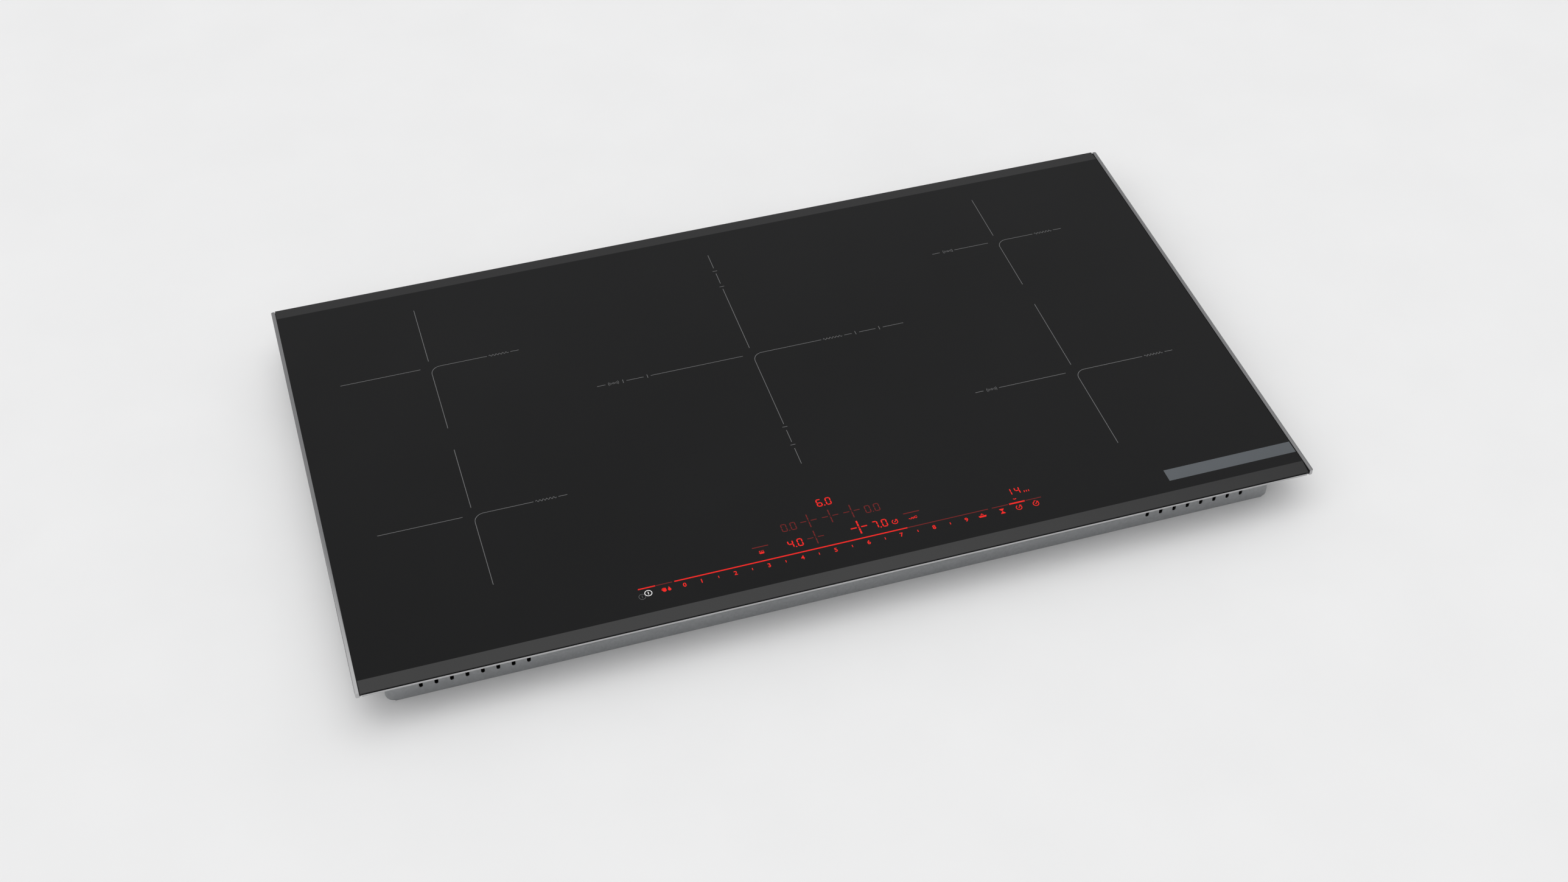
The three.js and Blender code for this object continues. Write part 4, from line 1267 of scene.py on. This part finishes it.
class COOKTOP_OT_case(bpy.types.Operator):
    """Makes the zinc-coated case tray with its slots, window and openings"""

    bl_idname = "cooktop.case"
    bl_label = "Case tray"

    def execute(self, context):
        look = settings("case")
        outer = tray_block(0, 0, CASE_TOP, look.corner, look.fold)
        cavity = tray_block(SHEET, SHEET, CASE_TOP + 2 * MM, look.corner - SHEET, look.fold - 0.8 * SHEET)
        shell = carve(closed_mesh(outer), cavity)

        tools = bmesh.new()
        rows = ((-400, -302, WALL_Y), (-56, 56, WALL_Y), (-400, -302, -WALL_Y), (302, 400, -WALL_Y))
        for start, end, y in rows:
            for i in range(round((end - start) * MM / look.slot_pitch) + 1):
                slot = obround(10 * MM, 28 * MM, look.slot_width, start * MM + i * look.slot_pitch)
                self.cut_wall(tools, slot, y)
        self.cut_wall(tools, rounded_outline(330 * MM, 410 * MM, 7 * MM, 31 * MM, 1.5 * MM, 4), WALL_Y)
        gland = middle_of("cable_gland")
        self.cut_wall(tools, arc((gland.x, gland.z), 8.3 * MM, steps=32), WALL_Y)
        for name in ("left", "right"):
            self.cut_intake(tools, middle_of("blower_rotor_" + name))
        bm = as_bmesh(carve(shell, tools))
        mesh = closed_mesh(bm, "case_shell", [paint("zinc_coated_sheet")], 30)
        for polygon in mesh.polygons:
            polygon.material_index = 0
        hang(mesh, "case_shell", "case", ["case_tray"])
        self.make_lugs()
        self.make_ears()
        self.make_pillars()
        return {"FINISHED"}

    def cut_wall(self, tools, outline, y):
        """A cutter through a wall at y, with an outline of (x, z) points."""
        place = Matrix.Translation((0, y, 0)) @ Matrix.Rotation(math.pi / 2, 4, "X")
        add_plate(tools, outline, -3 * MM, 3 * MM, place)

    def cut_intake(self, tools, centre, count=12):
        """Radial slots in the floor under a blower."""
        for i in range(count):
            turn = Matrix.Rotation(i * math.tau / count, 4, "Z")
            place = Matrix.Translation((centre.x, centre.y, SHEET / 2)) @ turn
            add_plate(tools, obround(11 * MM, 29 * MM, 3.6 * MM), -2 * MM, 2 * MM, place)

    def make_lugs(self):
        """Lugs for the clamp screws."""
        plates, holes = bmesh.new(), bmesh.new()
        thickness = 1.5 * MM
        for place in PLACES:
            centre = middle_of("clamp_screw_" + place)
            x, y = centre.x, centre.y
            side = 1 if x > 0 else -1
            for z in (4 * MM, 30 * MM):
                ends = sorted((side * (WALL_X - SEAT), x + side * 3.6 * MM))
                outline = rounded_outline(*ends, y - 6 * MM, y + 6 * MM, 0.9 * MM, 3)
                add_plate(plates, outline, z, z + thickness)
                add_plate(holes, arc((x, y), 2.35 * MM, steps=24), z - MM, z + thickness + MM)
        add_zinc(carve(closed_mesh(plates), holes), "case_lugs")

    def make_ears(self):
        """Ears that hold the terminal cover's hinge."""
        low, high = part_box("terminal_cover")
        ears, pins = bmesh.new(), bmesh.new()
        width, reach = 2 * MM, 3 * MM
        for x in (low.x - 0.2 * MM, high.x + 0.2 * MM - width):
            corner = (x + width, HINGE_Y + reach, HINGE_Z + reach)
            add_box(ears, (x, WALL_Y - SEAT, HINGE_Z - reach), corner)
        round_edges(ears, 0.4 * MM, 2)
        turn = Matrix.Translation((low.x - reach, HINGE_Y, HINGE_Z)) @ Matrix.Rotation(math.pi / 2, 4, "Y")
        radius, length = 1.45 * MM, high.x - low.x + 2 * reach
        add_turned(pins, [(0, 0), (radius, 0), (radius, length), (0, length)], 16, turn)
        add_zinc(carve(closed_mesh(ears), pins), "hinge_ears")

    def make_pillars(self):
        """Pillars that carry the coil plate."""
        pillars = bmesh.new()
        profile = [(0, 0.5), (4, 0.5), (4, 29.2), (3.5, 29.7), (1.6, 29.7), (1.6, 20), (0, 20)]
        for x in (-420, -182, 182, 420):
            for y in (-140, 118.5 if abs(x) > 300 else 165):
                place = Matrix.Translation((x * MM, y * MM, 0))
                add_turned(pillars, [(r * MM, h * MM) for r, h in profile], 24, place)
        add_piece(pillars, "case_pillars", "case", ["screw_steel"])


def cross_recess(centre, arm, slot, low, high):
    """A cutter for a cross recess."""
    bm = bmesh.new()
    for x, y in ((arm, slot), (slot, arm)):
        add_box(bm, (centre.x - x, centre.y - y, low), (centre.x + x, centre.y + y, high))
    return bm


def cross_head(radius, height):
    """A pan head with a cross recess, standing on z = 0."""
    bm = bmesh.new()
    shoulder, sunk = height * 0.35, -0.3 * MM
    profile = [(0, sunk), (radius, sunk), (radius, shoulder)]
    for i in range(1, 5):
        turn = math.radians(18 * i)
        profile.append((radius * math.cos(turn * 0.94), height * (0.35 + 0.65 * math.sin(turn))))
    add_turned(bm, [*profile, (0, height)], 20)
    recess = cross_recess(Vector((0, 0)), radius * 0.58, radius * 0.13, shoulder, height * 1.4)
    return carve(closed_mesh(bm), recess)


def stadium_bead(length, width, height):
    """A long stiffening bead pressed out of a sheet, rising from z = 0."""
    bm = bmesh.new()
    reach = length / 2 - width / 2
    rings = []
    for inset, rise in ((0, -0.2), (0, 0.0), (0.08, 0.45), (0.2, 0.8), (0.34, 1.0)):
        r = width / 2 - inset * width
        points = arc((reach, 0), r, -90, 180, 10) + arc((-reach, 0), r, 90, 180, 10)
        rings.append([(x, y, rise * height) for x, y in points])
    loft(bm, rings)
    return closed_mesh(bm, "bead", smooth_below=60)


class COOKTOP_OT_case_screws(bpy.types.Operator):
    """Sets the screws that hold the case to the frame under the glass"""

    bl_idname = "cooktop.case_screws"
    bl_label = "Case screws"

    def execute(self, context):
        height = 38.5 * MM
        places = []
        for x in (-380, -228, -76, 76, 228, 380):
            places.append(((x * MM, -WALL_Y, height), FRONTWARDS))
            if x < 300:
                places.append(((x * MM, WALL_Y, height), REARWARDS))
        for y in (-205, -80, 80, 205):
            places.append(((WALL_X, y * MM, height), RIGHTWARDS))
            places.append(((-WALL_X, y * MM, height), LEFTWARDS))
        head = cross_head(settings("case").screw_radius, 1.9 * MM)
        mesh = soften(grow_at(head, "screw_steel", places))
        hang(mesh, "case_screws", "case")
        return {"FINISHED"}


class COOKTOP_OT_case_beads(bpy.types.Operator):
    """Presses stiffening beads into the case walls"""

    bl_idname = "cooktop.case_beads"
    bl_label = "Case beads"

    def execute(self, context):
        middle, width = 19 * MM, 9 * MM
        long_beads = [((x * MM, -WALL_Y, middle), FRONTWARDS) for x in (-217, -72, 72, 217)]
        long_beads.append(((175 * MM, WALL_Y, middle), REARWARDS))
        side_beads = [
            ((side * WALL_X, 0, middle), (math.pi / 2, 0, side * math.pi / 2)) for side in (1, -1)
        ]
        for name, length, places in (("long", 116 * MM, long_beads), ("side", 150 * MM, side_beads)):
            bead = stadium_bead(length, width, settings("case").bead_height)
            mesh = grow_at(bead, "zinc_coated_sheet", places)
            hang(mesh, "case_beads_" + name, "case")
        return {"FINISHED"}


class COOKTOP_OT_clamps(bpy.types.Operator):
    """Makes the four installation clamps and their threaded screws"""

    bl_idname = "cooktop.clamps"
    bl_label = "Clamps"

    def execute(self, context):
        for place in PLACES:
            node = "clamp_arm_" + place
            bm = merged_copy(node)
            round_edges(bm, 0.25 * MM, 2, 50)
            name = "clamp_" + place
            add_piece(bm, name, name, ["zinc_coated_sheet"], [node])
            self.make_screw(place)
        return {"FINISHED"}

    def make_screw(self, place):
        node = "clamp_screw_" + place
        low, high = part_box(node)
        centre = Vector(((low.x + high.x) / 2, (low.y + high.y) / 2, 0))
        head = high.x - centre.x
        foot, rim, top = low.z + 0.7 * MM, low.z + 2.6 * MM, low.z + 2.8 * MM
        bm = bmesh.new()
        profile = [(0, low.z), (head * 0.8, low.z), (head, foot), (head, rim), (head * 0.9, top), (0, top)]
        add_turned(bm, profile, 28, Matrix.Translation(centre))
        recess = cross_recess(centre, head * 0.6, head * 0.13, low.z - MM, low.z + 1.4 * MM)
        bm = as_bmesh(carve(closed_mesh(bm), recess))
        self.add_thread(bm, centre, rim, high.z, 1.9 * MM, 0.7 * MM)
        add_piece(bm, "screw_" + place, "case", ["screw_steel"], [node], 40)

    def add_thread(self, bm, centre, low, high, radius, pitch):
        """A rod with a true helical thread."""
        sides, steps_a_turn, depth, chamfer = 18, 6, 0.24 * MM, 0.3 * MM
        count = int((high - low) / pitch * steps_a_turn)
        rings = []
        for i in range(count + 1):
            z = low + (high - low) * i / count
            ring = []
            for k in range(sides):
                phase = (z - low) / pitch - k / sides
                r = radius - depth * abs(2 * (phase % 1.0) - 1) - (chamfer if i == count else 0)
                turn = math.tau * k / sides
                ring.append(centre + Vector((r * math.cos(turn), r * math.sin(turn), z)))
            rings.append(ring)
        loft(bm, rings)


class COOKTOP_OT_rear_fittings(bpy.types.Operator):
    """Makes the terminal cover, the cord gland and the blank foil plate on the rear wall"""

    bl_idname = "cooktop.rear_fittings"
    bl_label = "Rear fittings"

    def execute(self, context):
        bm = merged_copy("terminal_cover")
        round_edges(bm, 0.25 * MM, 2, 50)
        flap = "terminal_flap"
        add_piece(bm, flap, flap, ["black_moulding"], ["terminal_cover"])
        start = (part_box("terminal_cover")[0].x + 12 * MM, HINGE_Y + 0.15 * MM, 20 * MM)
        ribs = bar_row("black_moulding", 9, start, 8.3 * MM, (1.4 * MM, 0.7 * MM, 15 * MM))
        hang(ribs, "terminal_flap_ribs", flap)
        self.make_gland()
        self.make_plate()
        return {"FINISHED"}

    def make_gland(self):
        centre = middle_of("cable_gland")
        # Heights run outwards along Y from the outer face of the rear wall.
        profile = [
            *[(5.4, -12), (8.0, -12), (8.0, 0.3), (11.2, 0.3), (11.6, 0.7), (11.6, 2.7), (11.2, 3.1)],
            *[(8.6, 3.3), (8.0, 3.9), (7.9, 5.3), (7.2, 6.0), (6.1, 6.0), (5.4, 5.4), (5.4, -12)],
        ]
        bm = bmesh.new()
        turn = Matrix.Translation((centre.x, WALL_Y, centre.z)) @ Matrix.Rotation(-math.pi / 2, 4, "X")
        add_turned(bm, [(r * MM, h * MM) for r, h in profile], 48, turn)
        add_piece(bm, "cord_gland", "case", ["black_moulding"], ["cable_gland"], 40)
        ribs = grow(
            rib_ring_tree(),
            "black_moulding",
            Count=30,
            Radius=11.5 * MM,
            Centre=(centre.x, WALL_Y + 1.7 * MM, centre.z),
            Size=(0.8 * MM, 0.9 * MM, 2.2 * MM),
        )
        hang(ribs, "cord_gland_ribs", "case")

    def make_plate(self):
        low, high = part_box("rating_plate")
        bm = bmesh.new()
        place = Matrix.Translation((0, high.y, 0)) @ Matrix.Rotation(math.pi / 2, 4, "X")
        outline = rounded_outline(low.x, high.x, low.z, high.z, 2 * MM, 6)
        add_plate(bm, outline, 0, high.y - low.y, place)
        add_piece(bm, "foil_plate", "case", ["label_foil"], ["rating_plate"], 30)


# ---------------------------------------------------------------- operators: inside


def radii(node, centre):
    """The least and greatest distance of a node's corners from an upright axis."""
    spans = [(v.co - centre).to_2d().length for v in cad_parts[node].data.vertices]
    return min(spans), max(spans)


class COOKTOP_OT_windings(bpy.types.Operator):
    """Winds the litz coils under the cooking zones"""

    bl_idname = "cooktop.windings"
    bl_label = "Coil windings"

    def execute(self, context):
        look = settings("coils")
        tree = spiral_winding_tree()
        radius = look.wire / 2
        for name in sorted(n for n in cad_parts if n.startswith("coil_winding_")):
            centre = middle_of(name)
            inner, outer = radii(name, centre)
            inner, outer = inner + radius, outer - radius
            turns = float(round((outer - inner) / (look.wire + look.gap)))
            shape = {"Turns": turns, "Inner": inner, "Outer": outer, "Wire": radius, "Centre": tuple(centre)}
            mesh = grow(tree, "litz_copper", **shape)
            mesh.shade_smooth()
            body = next("coil_" + z for z in ZONE_NAMES if name.startswith("coil_winding_" + z))
            hang(mesh, name.replace("coil_winding", "litz"), body, [name])
        return {"FINISHED"}


class COOKTOP_OT_mica_discs(bpy.types.Operator):
    """Lays a round mica disc over each coil, with a hole for the sensor"""

    bl_idname = "cooktop.mica_discs"
    bl_label = "Mica discs"

    def execute(self, context):
        for zone in ZONE_NAMES:
            node = "mica_disc_" + zone
            low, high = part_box(node)
            centre = middle_of(node)
            inner, outer = radii(node, centre)
            bm = bmesh.new()
            section = [(inner, low.z), (outer, low.z), (outer, high.z), (inner, high.z), (inner, low.z)]
            add_turned(bm, section, 96, Matrix.Translation((centre.x, centre.y, 0)))
            round_edges(bm, 0.1 * MM, 1, 60)
            add_piece(bm, "mica_" + zone, "coil_" + zone, ["mica_sheet"], [node], 30)
        return {"FINISHED"}


class COOKTOP_OT_coil_springs(bpy.types.Operator):
    """Makes the sprung spiders that press the coils up, each with a mesh of its own"""

    bl_idname = "cooktop.coil_springs"
    bl_label = "Coil springs"

    def execute(self, context):
        for zone in ZONE_NAMES:
            node = "coil_spring_" + zone
            bm = merged_copy(node)
            round_edges(bm, 0.12 * MM, 2, 50)
            piece = add_piece(bm, "spring_" + zone, "case", ["spring_steel"], [node], 40)
            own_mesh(piece)
        return {"FINISHED"}


class COOKTOP_OT_terminals(bpy.types.Operator):
    """Adds the clamping screws and the wire entries of the terminal block"""

    bl_idname = "cooktop.terminals"
    bl_label = "Terminals"

    def execute(self, context):
        low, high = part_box("terminal_block")
        count = 6
        pitch = (high.x - low.x) / count
        first = low.x + pitch / 2
        entry = (6.5 * MM, 0.3 * MM, 4.5 * MM)
        entries = bar_row("black_moulding", count, (first, high.y, low.z + 4 * MM), pitch, entry)
        hang(entries, "terminal_entries", "case")
        y, z = high.y - 3.5 * MM, low.z + 10 * MM
        places = [((first + pitch * i, y, z), (0, 0, 0.4 * i)) for i in range(count)]
        screws = grow_at(cross_head(2.2 * MM, 1.1 * MM), "screw_steel", places)
        screws.set_sharp_from_angle(angle=math.radians(35))
        hang(screws, "terminal_screws", "case")
        return {"FINISHED"}


PLAIN_FINISHES = {
    "worktop_seal": "seal_foam",
    "glass_support_frame": "zinc_coated_sheet",
    "terminal_block": "pale_moulding",
    "filter_board": "filter_board_green",
    "filter_choke": "choke_copper",
    "power_board": "power_board_green",
    "heat_sink": "aluminium_sheet",
    "blower_housing": "black_moulding",
    "blower_rotor": "blower_grey",
    "coil_carrier_plate": "aluminium_sheet",
    "coil_former": "coil_former_black",
    "temperature_sensor": "pale_moulding",
    "control_holder": "black_moulding",
    "control_board": "control_board_green",
    "ribbon_lead": "pale_moulding",
}


class COOKTOP_OT_plain_parts(bpy.types.Operator):
    """Gives the parts that keep their CAD shape their finishes"""

    bl_idname = "cooktop.plain_parts"
    bl_label = "Plain parts"

    def execute(self, context):
        for name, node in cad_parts.items():
            if node.hide_render:
                continue
            kind = next((k for k in PLAIN_FINISHES if name.startswith(k)), None)
            if kind is None:
                raise RuntimeError("no finish is given for " + name)
            for material_slot in node.material_slots:
                material_slot.material = paint(PLAIN_FINISHES[kind])
        return {"FINISHED"}


# ---------------------------------------------------------------- panel and registration


STEPS = (
    COOKTOP_OT_stage,
    COOKTOP_OT_glass,
    COOKTOP_OT_side_profiles,
    COOKTOP_OT_front_strip,
    COOKTOP_OT_glass_joints,
    COOKTOP_OT_zone_print,
    COOKTOP_OT_plain_band,
    COOKTOP_OT_touch_scale,
    COOKTOP_OT_readouts,
    COOKTOP_OT_key_symbols,
    COOKTOP_OT_case,
    COOKTOP_OT_case_screws,
    COOKTOP_OT_case_beads,
    COOKTOP_OT_clamps,
    COOKTOP_OT_rear_fittings,
    COOKTOP_OT_windings,
    COOKTOP_OT_mica_discs,
    COOKTOP_OT_coil_springs,
    COOKTOP_OT_terminals,
    COOKTOP_OT_plain_parts,
)

GROUPS = {
    "rim": CooktopRim,
    "print": CooktopPrint,
    "controls": CooktopControls,
    "case": CooktopCase,
    "coils": CooktopCoils,
    "stage": CooktopStage,
}


class COOKTOP_PT_finish(bpy.types.Panel):
    """Lists the steps that finish the cooktop, with their sizes and colours"""

    bl_idname = "COOKTOP_PT_finish"
    bl_label = "Induction Cooktop"
    bl_space_type = "VIEW_3D"
    bl_region_type = "UI"
    bl_category = "Cooktop"

    def draw(self, context):
        for step in STEPS:
            self.layout.operator(step.bl_idname)
        for name, group in GROUPS.items():
            box = self.layout.box()
            box.label(text=name.title())
            for key in group.__annotations__:
                box.prop(getattr(context.scene, "cooktop_" + name), key)


def register():
    for cls in (*GROUPS.values(), *STEPS, COOKTOP_PT_finish):
        bpy.utils.register_class(cls)
    for name, group in GROUPS.items():
        setattr(bpy.types.Scene, "cooktop_" + name, PointerProperty(type=group))


def unregister():
    for name in GROUPS:
        delattr(bpy.types.Scene, "cooktop_" + name)
    for cls in (COOKTOP_PT_finish, *reversed(STEPS), *GROUPS.values()):
        bpy.utils.unregister_class(cls)


def main():
    register()
    bpy.ops.cooktop.stage()
    bpy.ops.cooktop.glass()
    bpy.ops.cooktop.side_profiles()
    bpy.ops.cooktop.front_strip()
    bpy.ops.cooktop.glass_joints()
    bpy.ops.cooktop.zone_print()
    bpy.ops.cooktop.plain_band()
    bpy.ops.cooktop.touch_scale()
    bpy.ops.cooktop.readouts()
    bpy.ops.cooktop.key_symbols()
    bpy.ops.cooktop.case()
    bpy.ops.cooktop.case_screws()
    bpy.ops.cooktop.case_beads()
    bpy.ops.cooktop.clamps()
    bpy.ops.cooktop.rear_fittings()
    bpy.ops.cooktop.windings()
    bpy.ops.cooktop.mica_discs()
    bpy.ops.cooktop.coil_springs()
    bpy.ops.cooktop.terminals()
    bpy.ops.cooktop.plain_parts()


if __name__ == "__main__":
    main()
